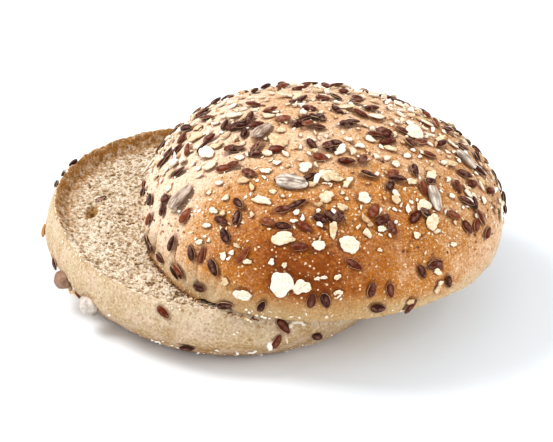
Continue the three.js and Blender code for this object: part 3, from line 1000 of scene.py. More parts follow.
def laid_on(surface, uphill, rows):
    """Origins and directions for rows of azimuth, distance across, and turn from level."""
    azimuth, across, turn = np.array([row[:3] for row in rows], float).T
    here = surface(azimuth, across)
    level = surface(azimuth + SURFACE_STEP, across) - here
    level /= np.linalg.norm(level, axis=1, keepdims=True)
    out = np.cross(level, surface(azimuth, across + uphill * SURFACE_STEP) - here)
    out /= np.linalg.norm(out, axis=1, keepdims=True)
    side = np.cross(out, level)
    turn = np.radians(turn)[:, None]
    along = level * np.cos(turn) + side * np.sin(turn)
    return here, np.stack([along, np.cross(out, along), out], axis=1)


def in_sight(surface, uphill, across_values):
    """Many points of a half that face the camera: azimuth, distance across, place and pixel."""
    azimuth, across = np.meshgrid(np.arange(0, 360, 0.5), across_values, indexing="ij")
    rows = np.stack([azimuth.ravel(), across.ravel(), np.zeros(azimuth.size)], axis=1)
    points, directions = laid_on(surface, uphill, rows)
    facing = np.sum(directions[:, 2] * (eye - points), axis=1) > 0
    return rows[facing], points[facing], pixel_of(points[facing])


def nearest_in_sight(pixels, sight):
    """For each pixel, the number of the point that is seen nearest to it."""
    away = np.sum((pixels[:, None] - sight[2][None]) ** 2, axis=-1)
    return np.argmin(away, axis=1)


LEAN_REACH = 3.0  # pixels between a seed's middle and the point that shows its lean


def rows_in_view(seen, surface, uphill, sight):
    """Rows of azimuth, distance across and turn from rows of pixel, pixel and lean."""
    seen = np.array([row[:3] for row in seen], float)
    lean = np.radians(seen[:, 2:3])
    middle = nearest_in_sight(seen[:, :2], sight)
    towards = LEAN_REACH * np.concatenate([np.cos(lean), -np.sin(lean)], axis=1)
    ahead = nearest_in_sight(seen[:, :2] + towards, sight)
    rows = sight[0][middle].copy()
    _, directions = laid_on(surface, uphill, rows)
    away = sight[1][ahead] - sight[1][middle]
    level = np.sum(away * directions[:, 0], axis=1)
    upward = np.sum(away * directions[:, 1], axis=1)
    rows[:, 2] = np.degrees(np.arctan2(upward, level))
    return rows


crown_sight = in_sight(crown_surface, -1, np.arange(0.5, 100.5, 0.5))
heel_sight = in_sight(heel_side, 1, np.arange(0.02, 2.0, 0.01))


# The solids' own landmarks: azimuth, drop from the top, or climb up the heel, and turn, with the
# length and width in millimetres of the flakes and of the kernels.
KERNELS_ON_CROWN = [
    (204, 22, 126, 8.6, 4.6), (254, 36, 0, 9.4, 5.0), (209, 60, 92, 9.2, 5.4),
    (319, 52, -115, 8.8, 4.0), (354, 52, -118, 8.0, 4.0),
]
OATS_ON_CROWN = [
    (258, 79, 85, 7.6, 7.0), (264, 80, 40, 5.6, 4.0), (246, 90, 0, 5.2, 3.6), (256, 59, 10, 5.8, 4.4),
    (279, 61, -10, 6.2, 4.8), (312, 60, 60, 4.8, 3.8), (355, 31, 0, 6.6, 5.4), (226, 21, 0, 7.0, 4.4),
    (289, 43, -10, 4.4, 3.2), (272, 41, 10, 4.4, 3.2), (196, 42, 20, 5.6, 4.2), (165, 31, 60, 5.0, 3.8),
]
FLAX_ON_CROWN = [
    (267, 88, 75), (271, 88, -75), (280, 70, -35), (285, 84, 75), (291, 86, -85), (298, 98, 40),
    (302, 80, -70), (308, 79, -55), (312, 92, -70), (252, 94, 65), (235, 80, -50), (221, 93, -30),
]
KERNELS_ON_HEEL = [(219, 0.75, 60, 8.8, 7.2), (203, 0.8, 20, 6.8, 4.8)]
FLAX_ON_HEEL = [
    (250, 1.7, -30), (257, 0.65, 0), (283, 0.9, 60), (178, 1.1, 90), (196, 0.95, -25), (163, 1.8, 30),
    (152, 1.95, 10), (131, 2.0, 50), (158, 1.9, 20),
]

# Flax seeds that show one by one: pixel across, pixel down, and lean.
FLAX_IN_VIEW = [
    (144, 192, 65), (151, 200, 85), (166, 199, 0), (163, 210, 90), (186, 216, 50), (150, 219, 60),
    (172, 243, 72), (192, 253, 110), (202, 255, 80), (201, 287, -10), (151, 248, -60), (160, 258, -55),
    (240, 205, -40), (237, 218, 72), (221, 221, -15), (225, 236, 105), (243, 255, 40), (283, 211, 25),
    (269, 223, -40), (284, 227, -8), (305, 228, -8), (320, 219, -30), (330, 218, -50), (340, 219, -75),
    (300, 248, 0), (377, 307, -10), (374, 212, 65), (382, 220, 20), (392, 228, -80), (298, 205, 10),
    (422, 189, -65), (429, 182, 0), (456, 188, -50), (466, 203, -35), (474, 203, 100), (471, 184, 0),
    (491, 191, -10), (502, 184, -50), (507, 208, 85), (452, 216, -5), (467, 228, -70), (476, 225, 85),
    (480, 218, -75), (487, 233, 60), (415, 218, 70), (425, 215, -20), (390, 186, 70), (398, 181, -10),
    (174, 272, -55), (434, 264, 20), (226, 304, -5), (162, 148, 50), (169, 154, 50), (163, 162, 50),
    (177, 150, 50), (188, 150, 60), (184, 139, 45), (200, 116, 50), (207, 113, 45), (207, 120, 15),
    (217, 104, 30), (211, 139, 25), (205, 148, 40), (188, 130, 0), (180, 128, 40), (253, 106, 10),
    (256, 93, -20), (283, 88, 10), (306, 85, 0), (300, 89, 0), (296, 103, 15), (303, 101, 20),
    (310, 110, 0), (252, 120, 60), (226, 126, 40), (240, 125, 20), (233, 129, -5), (242, 129, 20),
    (257, 127, 15), (272, 113, 5), (285, 121, -10), (298, 125, 15), (307, 120, 10), (314, 120, -40),
    (321, 119, -60), (318, 130, 0), (312, 146, -50), (308, 126, 30), (229, 151, 50), (245, 135, 65),
    (237, 150, -10), (256, 156, 5), (258, 148, 30), (277, 150, 5), (225, 169, -10), (234, 167, 5),
    (249, 174, -20), (181, 173, 30), (310, 178, 30), (320, 159, -5), (328, 147, 40), (323, 99, -5),
    (326, 87, -10), (337, 87, -5), (344, 93, -15), (335, 99, -10), (357, 99, 10), (357, 104, -10),
    (337, 112, -20), (372, 110, -10), (360, 115, -10), (346, 126, 5), (353, 124, -10), (384, 132, -25),
    (387, 136, -40), (376, 136, -10), (387, 142, -15), (403, 132, -30), (410, 145, -60), (421, 143, 5),
    (398, 102, -20), (406, 106, -10), (426, 116, -5), (434, 125, -40), (448, 132, -50), (457, 135, -45),
    (441, 146, 10), (462, 148, -30), (476, 157, -60), (479, 171, -40), (464, 176, -35), (363, 161, 75),
    (347, 163, 0), (368, 176, -15), (392, 174, 10), (413, 171, -60), (429, 156, -10), (335, 145, 10),
    (330, 150, -20), (180, 270, -50), (148, 240, -70),
]

# Oat flakes that show one by one: pixel across, pixel down, lean, length and width in millimetres.
OATS_IN_VIEW = [
    (318, 247, 0, 3.8, 3.2), (225, 282, 0, 2.4, 2.2), (262, 201, -25, 5.8, 2.4), (342, 208, 0, 3.0, 2.6),
    (333, 230, -80, 4.6, 2.4), (293, 240, 0, 1.8, 1.6), (381, 229, 0, 2.6, 2.0), (297, 213, 80, 2.0, 1.6),
    (272, 262, 85, 2.2, 1.5), (285, 265, 60, 1.8, 1.3), (317, 279, 0, 1.8, 1.0), (324, 278, 10, 1.8, 1.1),
    (337, 277, 40, 2.2, 1.4), (339, 292, 0, 2.0, 1.5), (294, 222, 0, 2.4, 1.0), (394, 200, 0, 3.2, 2.6),
    (423, 206, -10, 4.8, 3.2), (416, 236, 0, 2.4, 2.0), (436, 271, -30, 2.8, 2.0), (440, 282, 20, 2.4, 1.4),
    (436, 289, 70, 2.6, 2.0), (410, 301, 60, 2.4, 1.8), (467, 194, -60, 2.8, 2.4), (476, 216, 20, 2.2, 1.6),
    (500, 212, -80, 6.0, 2.4), (452, 245, 0, 2.4, 1.3), (412, 183, 0, 2.8, 2.0), (226, 198, 0, 2.0, 1.9),
    (214, 210, -20, 2.6, 1.8), (223, 214, -70, 2.2, 1.6), (207, 226, 0, 2.4, 1.6), (200, 242, 20, 2.8, 1.3),
    (224, 256, 60, 2.4, 1.8), (232, 253, 0, 1.6, 1.4), (247, 262, 0, 2.6, 1.5), (237, 246, -40, 2.4, 1.1),
    (244, 181, 0, 3.4, 2.0), (142, 228, 60, 2.2, 1.4), (284, 97, 10, 4.4, 2.8), (298, 97, 20, 4.6, 2.8),
    (235, 117, 25, 4.6, 2.8), (269, 118, 5, 4.0, 2.2), (281, 132, 0, 2.6, 2.4), (217, 147, 20, 4.0, 2.8),
    (211, 167, 20, 4.4, 3.6), (196, 137, 40, 5.2, 4.4), (198, 128, 0, 3.6, 2.8), (184, 162, -60, 3.8, 2.2),
    (172, 174, 50, 3.2, 2.0), (240, 159, 0, 3.0, 1.6), (268, 155, 0, 2.6, 2.4), (277, 164, 0, 2.4, 1.8),
    (266, 172, 10, 3.4, 1.8), (306, 168, 0, 4.0, 3.8), (326, 176, 20, 4.6, 4.0), (316, 153, 0, 2.0, 1.7),
    (273, 192, 0, 2.0, 1.6), (347, 109, 0, 5.4, 3.6), (376, 118, -20, 5.0, 4.6), (374, 97, 0, 4.4, 2.6),
    (398, 105, -20, 3.4, 2.4), (426, 125, -35, 5.0, 3.2), (440, 141, 10, 4.4, 2.0), (452, 145, -30, 4.0, 2.2),
    (341, 151, 20, 4.6, 2.4), (390, 149, -15, 4.0, 2.2), (449, 165, -25, 4.4, 2.8), (387, 159, 0, 2.2, 1.7),
    (395, 164, 0, 2.8, 2.2), (431, 176, 10, 4.0, 2.6), (340, 180, 0, 2.6, 1.8), (332, 178, 0, 4.0, 4.2),
    (411, 182, 0, 2.4, 2.2), (370, 140, -30, 3.4, 2.0), (465, 189, 0, 2.6, 2.0), (380, 250, 0, 1.6, 1.0),
]
print(len(FLAX_IN_VIEW), "flax seeds and", len(OATS_IN_VIEW), "oat flakes are placed by eye")


def on_crown(rows):
    """Origins and directions on the crown's crust, with its lumps, for rows of azimuth, drop and
    turn."""
    here, directions = laid_on(crown_surface, -1, rows)
    azimuth, drop = np.array([row[:2] for row in rows], float).T
    relief = crown_relief(azimuth, drop, crown_side(azimuth, drop))
    return here + directions[:, 2] * relief[:, None], directions


def on_heel(rows):
    """Origins and directions on the heel's side for rows of azimuth, climb and turn."""
    here, directions = laid_on(heel_side, 1, rows)
    azimuth, climb = np.array([row[:2] for row in rows], float).T
    return here + directions[:, 2] * heel_relief(climb, here)[:, None], directions


# On the heel's side: flax, and bits, with their length and how brown they are.
FLAX_LOW_IN_VIEW = [(283, 326, -60), (317, 336, 0), (77, 298, -40)]
BITS_LOW_IN_VIEW = [
    (157, 341, 0, 1.8, 0), (153, 339, 20, 1.6, 0.1), (160, 342, -20, 1.4, 0), (163, 341, 50, 1.2, 0.1),
    (172, 345, 0, 1.1, 0.1), (178, 347, 0, 1.2, 0), (198, 352, 0, 1.3, 0), (204, 353, 10, 1.0, 0.2),
    (233, 355, 0, 1.5, 0), (237, 353, 60, 1.6, 0.1), (240, 355, 0, 1.3, 0), (251, 352, 0, 2.2, 0.1),
    (255, 351, 30, 1.8, 0), (218, 350, 0, 1.2, 0), (297, 322, 10, 3.0, 0.1), (302, 324, 0, 2.4, 0.2),
    (290, 325, 40, 2.2, 0.4), (271, 344, 80, 3.6, 0.1), (331, 334, 0, 1.4, 0.1), (286, 340, -60, 2.0, 0.5),
    (69, 288, -50, 3.4, 0.72), (74, 293, -30, 3.2, 0.66), (78, 299, -50, 3.2, 0.75), (110, 315, 30, 1.4, 0.1),
    (234, 334, 0, 0.9, 0.2), (238, 332, 0, 0.8, 0.3), (258, 327, 80, 1.4, 0.75),
]
# Crumbs that cling to the crown low on the front.
BITS_ON_CROWN_IN_VIEW = [
    (246, 309, 0, 1.0), (249, 312, 30, 1.3), (253, 311, 60, 0.9), (257, 314, 0, 1.2), (262, 316, -20, 1.0),
    (266, 318, 0, 1.4), (270, 319, 40, 1.0), (276, 317, 0, 0.8), (292, 316, 10, 1.2), (299, 317, 0, 0.9),
    (326, 316, -10, 1.3), (331, 315, 20, 0.9), (338, 296, 30, 1.6), (335, 293, 0, 1.4), (341, 299, 60, 1.2),
    (204, 236, 0, 1.6), (210, 240, 40, 1.4), (196, 239, -20, 1.3), (221, 254, 0, 1.5), (228, 259, 30, 1.3),
]
flax_seen = rows_in_view(FLAX_IN_VIEW, crown_surface, -1, crown_sight)
bits_seen = rows_in_view(BITS_ON_CROWN_IN_VIEW, crown_surface, -1, crown_sight)
oats_seen = rows_in_view(OATS_IN_VIEW, crown_surface, -1, crown_sight)
flax_low_seen = rows_in_view(FLAX_LOW_IN_VIEW, heel_side, 1, heel_sight)
bits_low_seen = rows_in_view(BITS_LOW_IN_VIEW, heel_side, 1, heel_sight)
print("flax seen on the crown's front, at azimuth and drop:", flax_seen[:3, :2].round(0).tolist())

# %% [markdown]
# ## Toppings by rule
# Where the camera does not look, and for the chips and crumbs between the seeds, places come from
# repeatable draws. A draw is kept where the cover of seeds asks for it, thick on top and soon
# bare down the front, and where nothing lies yet. It is the rule that the solids' seeds follow.

# %% The rule for places
DRAW_STEP = 12.9898
DRAW_STREAM = 78.233
DRAW_STEEPNESS = 43758.5453
CROWN_DROP_EDGE = 96
SEED_EDGE_BACK = 88
SEED_EDGE_FRONT = 56
SEED_FRONT_SIDE = 265
SEED_EDGE_FADE = 10
FLAX_SPACING = 4.6
LANDMARK_SPACING = 6.0


def draw(index, stream):
    """A repeatable draw between 0 and 1: the fraction of a steep sine of index and stream."""
    wave = np.sin(index * DRAW_STEP + stream * DRAW_STREAM) * DRAW_STEEPNESS
    return wave - np.floor(wave)


def seed_cover(azimuth, drop, spread=0.0):
    """How thickly toppings lie on the crown: 1 on top, fading to 0 down the side, soonest at the
    front. A spread moves that edge further down."""
    front = turned_to(azimuth, SEED_FRONT_SIDE)
    edge = SEED_EDGE_BACK + (SEED_EDGE_FRONT - SEED_EDGE_BACK) * front**2 + spread
    return 1 - smooth_step(drop, edge - SEED_EDGE_FADE, edge + SEED_EDGE_FADE)


def crown_draws(tries, stream, spread=0.0):
    """Drawn places on the crown, even over a ball's surface and then thinned by the cover."""
    index = np.arange(1, tries + 1)
    azimuth = 360 * draw(index, stream)
    lowest = math.cos(math.radians(CROWN_DROP_EDGE))
    drop = np.degrees(np.arccos(1 - draw(index, stream + 1) * (1 - lowest)))
    kept = draw(index, stream + 2) < seed_cover(azimuth, drop, spread)
    return np.stack([azimuth, drop, 360 * draw(index, stream + 3)], axis=1)[kept]


def kept_apart(rows, surface, taken, room, count):
    """The first rows, up to a count, that are clear of what is taken and of each other."""
    points = surface(rows[:, 0], rows[:, 1])
    taken_points, taken_room = taken
    places = [*taken_points]
    rooms = [*taken_room]
    chosen = []
    for row, point in zip(rows, points):
        if np.all(np.linalg.norm(np.array(places) - point, axis=1) > rooms):
            places.append(point)
            rooms.append(room)
            chosen.append(row)
            if len(chosen) == count:
                break
    return np.array(chosen)


def with_room(rows, surface, room):
    """What already lies on a half: its points, and the room that each of them is given."""
    return surface(rows[:, 0], rows[:, 1]), np.zeros(len(rows)) + room


def heel_draws(tries):
    """Drawn places on the heel's side, away from the front, where its seeds are placed one by one."""
    index = np.arange(1, tries + 1)
    climb = HEEL_FLAX_LOWEST + (HEEL_FLAX_HIGHEST - HEEL_FLAX_LOWEST) * draw(index, 6)
    rows = np.stack([360 * draw(index, 5), climb, 360 * draw(index, 7)], axis=1)
    return rows[np.abs(rows[:, 0] - HEEL_BARE_SIDE) >= HEEL_BARE_REACH]


def away_from_view(rows):
    """The rows that the camera doesn't see, where the seeds placed one by one don't reach."""
    points, directions = laid_on(crown_surface, -1, rows)
    facing = np.sum(directions[:, 2] * (eye - points), axis=1) > 0
    return rows[~facing]


def clear_of(rows, others, room):
    """The rows that are further than room from every other row, on the crown."""
    points = crown_surface(rows[:, 0], rows[:, 1])
    other_points = crown_surface(others[:, 0], others[:, 1])
    away = np.linalg.norm(points[:, None] - other_points[None], axis=-1)
    return rows[np.min(away, axis=1) > room]


CROWN_FLAX_TRIES = 4000
CROWN_FLAX_TOTAL = 250
FLAX_CLEARANCE = 3.6  # between a hidden seed and what is placed one by one
OAT_TRIES = 1500
HIDDEN_OATS = 34
OAT_ROOM = 5.0
OAT_CLEARANCE = 3.0
HEEL_FLAX_TRIES = 80
HEEL_FLAX_COUNT = 14
HEEL_FLAX_LOWEST = 0.5
HEEL_FLAX_HIGHEST = 1.6
HEEL_BARE_SIDE = 230
HEEL_BARE_REACH = 75

landmarks = np.array([row[:3] for row in KERNELS_ON_CROWN + OATS_ON_CROWN + FLAX_ON_CROWN])
taken = with_room(landmarks, crown_surface, LANDMARK_SPACING)
drawn_flax = kept_apart(
    crown_draws(CROWN_FLAX_TRIES, 1), crown_surface, taken, FLAX_SPACING, CROWN_FLAX_TOTAL)
placed = np.concatenate([landmarks, flax_seen, oats_seen])
hidden_flax = clear_of(away_from_view(drawn_flax), placed, FLAX_CLEARANCE)
taken = with_room(np.concatenate([placed, hidden_flax]), crown_surface, OAT_CLEARANCE)
drawn_oats = away_from_view(crown_draws(OAT_TRIES, 11))
hidden_oats = kept_apart(drawn_oats, crown_surface, taken, OAT_ROOM, HIDDEN_OATS)
landmarks = np.array([row[:3] for row in KERNELS_ON_HEEL + FLAX_ON_HEEL])
taken = with_room(landmarks, heel_side, LANDMARK_SPACING)
hidden_low_flax = kept_apart(heel_draws(HEEL_FLAX_TRIES), heel_side, taken, FLAX_SPACING, HEEL_FLAX_COUNT)
print(len(hidden_flax), "flax seeds and", len(hidden_oats), "oat flakes lie out of the camera's view")
print(len(hidden_low_flax), "flax seeds lie on the back of the heel")

# %% [markdown]
# ## Copies of small shapes
# A seed is drawn once, as rings from tip to tip in its own directions, and copied by array sums
# into one mesh for each kind. It could be instanced, but instances are lost when the model is
# handed on. Few faces are enough for such small things, because shading rounds them. Every copy
# is rocked a little, sunk a little, and has its own size and tint.


# %% Copies
LIFT_SHARE = 0.6


def copies(shape, sizes, origins, directions):
    """Points of copies: the shape's along, side and out are stretched by each copy's sizes and
    summed along its three directions."""
    own = shape * sizes[:, None]
    return np.einsum("mna,mab->mnb", own, directions) + origins[:, None]


def faces_of_copies(faces, count, points_each):
    """The shape's faces over and over, each time moved on by the points of one copy."""
    ahead = np.arange(count)[:, None, None] * points_each
    return [(part[None] + ahead).reshape(-1, part.shape[-1]) for part in faces]


def rocked(directions, most, half_sizes, stream):
    """Directions tipped by chance, by a tangent of up to most along and to the side, and how far
    a copy then has to be lifted for its lower edge to stay on the crust."""
    index = np.arange(1, len(directions) + 1)
    tip = most * (2 * np.stack([draw(index, stream), draw(index, stream + 1)], axis=1) - 1)
    out = directions[:, 2] + tip[:, :1] * directions[:, 0] + tip[:, 1:] * directions[:, 1]
    out /= np.linalg.norm(out, axis=1, keepdims=True)
    along = directions[:, 0] - np.sum(directions[:, 0] * out, axis=1, keepdims=True) * out
    along /= np.linalg.norm(along, axis=1, keepdims=True)
    lift = LIFT_SHARE * np.sum(np.abs(tip) * half_sizes[:, :2], axis=1, keepdims=True)
    return np.stack([along, np.cross(out, along), out], axis=1), lift


def spindle(rings, around, fullness, taper):
    """A seed of unit sizes with its tips on its length: its radius is a power of the sine of the
    angle from tip to tip, and thins towards one tip."""
    tip_angle = np.linspace(0, math.pi, rings + 2)[1:-1, None]
    round_angle = np.linspace(0, 2 * math.pi, around, endpoint=False)[None, :]
    along = -np.cos(tip_angle) / 2
    radius = np.sin(tip_angle) ** fullness * (1 - 2 * taper * along) / 2
    grid = np.stack(np.broadcast_arrays(
        along, radius * np.cos(round_angle), radius * np.sin(round_angle)), axis=-1)
    return ring_points([-0.5, 0, 0], grid, [0.5, 0, 0])


def topping(name, shape, grid_size, sizes, origins, directions, slot, material, **values):
    """One piece that holds every copy of a topping, with its own coordinates and with values
    that there is one of either for each copy or for each point of its shape."""
    points = copies(shape, sizes, origins, directions)
    count, points_each = points.shape[:2]
    faces = faces_of_copies(ring_faces(*grid_size), count, points_each)
    own = np.broadcast_to(shape, points.shape) * sizes[:, None]
    for value_name, numbers in values.items():
        for_copies = len(numbers) == count
        values[value_name] = np.repeat(numbers, points_each) if for_copies else np.tile(numbers, count)
    piece = new_piece(
        name, points.reshape(-1, 3), faces, slot, ["crown", "heel"], own=own.reshape(-1, 3), **values,
    )
    piece.data.materials.append(material)
    return piece


# %% [markdown]
# ## Flax seeds
# Flax seeds are flat drops with a shine, from red brown to dark purple brown, and their thin
# edges look paler. The edge and the crest are marked on the one drop that is copied, so they stay
# where they are however a seed lies. The crest carries a painted highlight, and the seeds high up
# a bloom that is partly dust and partly painted sheen.

# %% Flax seeds
FLAX_SIZE = (5.1, 2.5, 1.35)
FLAX_SMALLEST = 0.86
FLAX_SIZE_SPREAD = 0.26
FLAX_RINGS = 5
FLAX_POINTED = 1.15
FLAX_TAPER = 0.2
GOLDEN_SEED = 3  # the place among the heel's seeds of the one that is golden
FLAX_STANDS = 0.3  # the share of its thickness by which a seed's middle stands over the crust
# Seeds high up lie on each other and on flakes, so they are rocked more than those below.
FLAX_HIGH_DROPS = (40, 75)  # where the high ones end and the low ones start
FLAX_ROCKING = 0.12
FLAX_ROCKING_HIGH = 0.2
# One seed is baked into the crumb, beside the hole.
CRUMB_SEED_PIXEL = np.array([[101.0, 201.0]])
CRUMB_SEED_DIRECTIONS = ((0.8, 0.6, 0.0), (-0.6, 0.8, 0.0), (0.0, 0.0, 1.0))
CRUMB_SEED_SUNK = 0.8
CRUMB_SEED_DUST_AND_SHEEN = 3.0
# Across a seed, from one thin edge round to the other and back: to the side and out.
FLAX_SECTION = (
    (1.12, 0.0), (0.76, 0.68), (0.0, 1.0), (-0.76, 0.68),
    (-1.12, 0.0), (-0.76, -0.68), (0.0, -1.0), (0.76, -0.68),
)


def flax_shape():
    """A flat pointed drop: its width is a power of the sine of the angle from tip to tip, thinned
    towards one tip. Also says which points lie on its edge, and which on its crest."""
    tip_angle = np.linspace(0, math.pi, FLAX_RINGS + 2)[1:-1, None, None]
    section = np.array(FLAX_SECTION)[None]
    along = -np.cos(tip_angle) / 2
    width = np.sin(tip_angle) ** FLAX_POINTED * (1 - 2 * FLAX_TAPER * along) / 2
    grid = np.concatenate([along + 0 * section[..., :1], width * section], axis=-1)
    on_edge = np.tile(np.abs(section[0, :, 0]) > 1, FLAX_RINGS).astype(float)
    on_crest = np.tile(section[0, :, 0] == 0, FLAX_RINGS).astype(float)
    points = ring_points([-0.5, 0, 0], grid, [0.5, 0, 0])
    return points, np.concatenate([[1], on_edge, [1]]), np.concatenate([[0], on_crest, [0]])


def flax_finish():
    """Flax: dark browns by each seed's tint, with a painted highlight along its crest, a bloom that is
    partly dust and partly painted sheen, a pale edge on some, and a shine."""
    finish = Finish("flax_seed", roughness=0.28, specular=0.07)
    tint = finish.clouded(finish.attribute("tint"), 0.0012, 2, 0.4)
    colour = finish.ramp(tint, [
        (0.0, srgb(38, 6, 2)),
        (0.35, srgb(76, 22, 6)),
        (0.65, srgb(110, 44, 16)),
        (0.85, srgb(142, 82, 44)),
        (1.0, srgb(182, 130, 62)),
    ])
    # Painted highlight along each seed's crest.
    crest = finish.math("MULTIPLY", finish.patches(0.0014, 3, 0.4, 0.62), finish.attribute("crest"))
    colour = finish.cover(colour, crest, 0.5, srgb(158, 112, 92))
    # A bloom, partly dust and partly painted sheen, by each seed's share.
    bloom = finish.patches(0.0011, 3, 0.5, 0.68)
    colour = finish.cover(colour, bloom, finish.attribute("dusty"), srgb(162, 124, 106))
    edge = finish.clouded(finish.attribute("edge"), 0.003, 2, 0.6)
    edge = finish.ramp(edge, [(0.62, BLACK), (0.84, WHITE)])
    finish.paint(finish.cover(colour, edge, finish.attribute("rimmed"), srgb(216, 178, 138)))
    finish.emboss(finish.noise(0.0005, 2), 0.00012, 0.7)
    return finish.material


crown_rows = np.concatenate([np.array(FLAX_ON_CROWN, float), flax_seen, hidden_flax])
heel_rows = np.concatenate([np.array(FLAX_ON_HEEL, float), flax_low_seen, hidden_low_flax])
crown_here, crown_directions = on_crown(crown_rows)
heel_here, heel_directions = on_heel(heel_rows)
crumb_seed_here = seen_on_level(CRUMB_SEED_PIXEL, CRUMB_LEVEL - CRUMB_SEED_SUNK)
flax_here = np.concatenate([crown_here, heel_here, crumb_seed_here])
index = np.arange(1, len(flax_here) + 1)
uneven = np.stack([draw(index, 23 + axis) for axis in range(3)], axis=1)
flax_sizes = np.array(FLAX_SIZE) * (FLAX_SMALLEST + FLAX_SIZE_SPREAD * uneven)
flax_high = 1 - smooth_step(crown_rows[:, 1], *FLAX_HIGH_DROPS)
flax_high = np.concatenate([flax_high, np.zeros(len(heel_rows)), [1]])
flax_directions, flax_lift = rocked(
    np.concatenate([crown_directions, heel_directions, [CRUMB_SEED_DIRECTIONS]]),
    FLAX_ROCKING + FLAX_ROCKING_HIGH * flax_high[:, None], flax_sizes / 2, 21)
flax_lift = flax_lift + FLAX_STANDS * flax_sizes[:, 2:]
flax_tint = draw(index, 27) ** 2.2 * 0.7 + 0.02
flax_tint[len(crown_rows) + GOLDEN_SEED] = 1.0
# Seeds high up get more of the bloom, partly dust and partly painted sheen where the light falls from above.
flax_dusty = (0.14 + 0.7 * flax_high) * draw(index, 28) ** 1.2
flax_dusty[-1] = CRUMB_SEED_DUST_AND_SHEEN
flax_rimmed = 0.9 * draw(index, 29) ** (0.6 + 0.9 * flax_high)
drop_shape, drop_edge, drop_crest = flax_shape()
topping(
    "flax_seeds", drop_shape[None], (FLAX_RINGS, len(FLAX_SECTION)), flax_sizes,
    flax_here + flax_directions[:, 2] * flax_lift, flax_directions, "flax_seed", flax_finish(),
    tint=flax_tint, dusty=flax_dusty, rimmed=flax_rimmed, edge=drop_edge, crest=drop_crest,
)

# %% [markdown]
# ## Sunflower kernels
# The few large seeds are hulled sunflower kernels: grey beige, fuller than flax, with faint dark
# streaks from tip to tip. They are large enough to carry shallow grooves as real shape. The two
# on the heel's side are rounder and lumpy.

# %% Kernels
KERNEL_THICKNESS = 2.3
LUMPY_KERNEL_THICKNESS = 5.4
KERNEL_GRID = (24, 20)
KERNEL_FORM = (0.8, 0.16)  # how full a kernel's tips are, and how much it thins towards one
LUMPY_KERNEL_FORM = (0.55, 0.1)
KERNEL_ROCKING = 0.16
KERNEL_STANDS = 0.25
LUMPY_KERNEL_STANDS = 0.1
KERNEL_GROOVES = 0.05
KERNEL_UNEVEN = 0.1
KERNEL_LUMPS = 0.26
# For each kernel, how far its streaks give way to a plain pale grey, and how brown it is.
KERNEL_PLAIN = (0.0, 0.1, 0.0, 0.25, 0.2, 0.6, 0.1)
KERNEL_BROWN = (0.35, 0.0, 0.3, 0.0, 0.0, 0.0, 0.8)


def kernel_shape(stream):
    """A spindle whose sides are pushed in by a cosine that goes five times round, and a little
    in and out by noise."""
    shape = spindle(*KERNEL_GRID, *KERNEL_FORM)
    turn = np.arctan2(shape[:, 2], shape[:, 1])
    shape[:, 1:] *= (1 - KERNEL_GROOVES * (0.5 + 0.5 * np.cos(5 * turn + 6 * shape[:, 0])))[:, None]
    return shape * (1 + KERNEL_UNEVEN * layered(shape, 0.3, stream, 2))[:, None]


def lumpy_shape(stream):
    """A fuller spindle, pushed in and out by noise."""
    shape = spindle(*KERNEL_GRID, *LUMPY_KERNEL_FORM)
    return shape * (1 + KERNEL_LUMPS * layered(shape, 0.4, stream, 2))[:, None]


def kernel_finish():
    """Kernels: grey beige with soft clouds and with faint streaks drawn out along each one, or
    plainer and paler, or browner, and darker along their sides."""
    finish = Finish("kernel", roughness=0.5, specular=0.3)
    own = finish.attribute("own", "Vector")
    drawn_out = finish.add("ShaderNodeVectorMath", {0: own, 1: (0.3, 1.0, 1.0)}, operation="MULTIPLY")
    streaks = finish.noise(0.8, 5, drawn_out.outputs[0])
    colour = finish.ramp(streaks, [
        (0.32, srgb(82, 66, 52)),
        (0.43, srgb(140, 122, 106)),
        (0.53, srgb(196, 180, 162)),
        (0.68, srgb(234, 223, 210)),
    ])
    colour = finish.cover(colour, finish.patches(0.003, 2, 0.45, 0.7), 0.3, srgb(190, 158, 120))
    colour = finish.mix(finish.attribute("plain"), colour, srgb(214, 204, 194))
    colour = finish.cover(colour, finish.attribute("side"), 0.7, srgb(94, 74, 56))
    finish.paint(finish.mix(finish.attribute("tint"), colour, srgb(132, 88, 58)))
    finish.emboss(finish.math("ADD", streaks, finish.noise(0.0014, 3)), 0.0003, 0.6)
    return finish.material


kernel_rows = KERNELS_ON_CROWN + KERNELS_ON_HEEL
crown_here, crown_directions = on_crown(KERNELS_ON_CROWN)
heel_here, heel_directions = on_heel(KERNELS_ON_HEEL)
kernel_here = np.concatenate([crown_here, heel_here])
lumpy = np.arange(len(kernel_rows)) >= len(KERNELS_ON_CROWN)
thickness = np.where(lumpy, LUMPY_KERNEL_THICKNESS, KERNEL_THICKNESS)
kernel_sizes = np.concatenate([np.array([row[3:] for row in kernel_rows]), thickness[:, None]], axis=1)
kernel_shapes = np.stack([
    (lumpy_shape if is_lumpy else kernel_shape)(141 + number) for number, is_lumpy in enumerate(lumpy)])
kernel_directions, kernel_lift = rocked(
    np.concatenate([crown_directions, heel_directions]), KERNEL_ROCKING, kernel_sizes / 2, 31)
kernel_stands = np.where(lumpy, LUMPY_KERNEL_STANDS, KERNEL_STANDS)[:, None]
kernel_lift = kernel_lift * ~lumpy[:, None] + kernel_stands * kernel_sizes[:, 2:]
topping(
    "kernels", kernel_shapes, KERNEL_GRID, kernel_sizes,
    kernel_here + kernel_directions[:, 2] * kernel_lift, kernel_directions, "kernel", kernel_finish(),
    tint=np.array(KERNEL_BROWN), plain=np.array(KERNEL_PLAIN),
    side=smooth_step(np.abs(spindle(*KERNEL_GRID, *KERNEL_FORM)[:, 1]), 0.36, 0.48),
)

# %% [markdown]
# ## Oat flakes
# A rolled oat is a thin cream flake with an uneven outline. No two are alike, so the outline
# isn't copied: each flake's radius is its own sum of four waves round the rim, worked out for
# all the flakes at once. A flake also bends a little, so that one side stands off the crust.

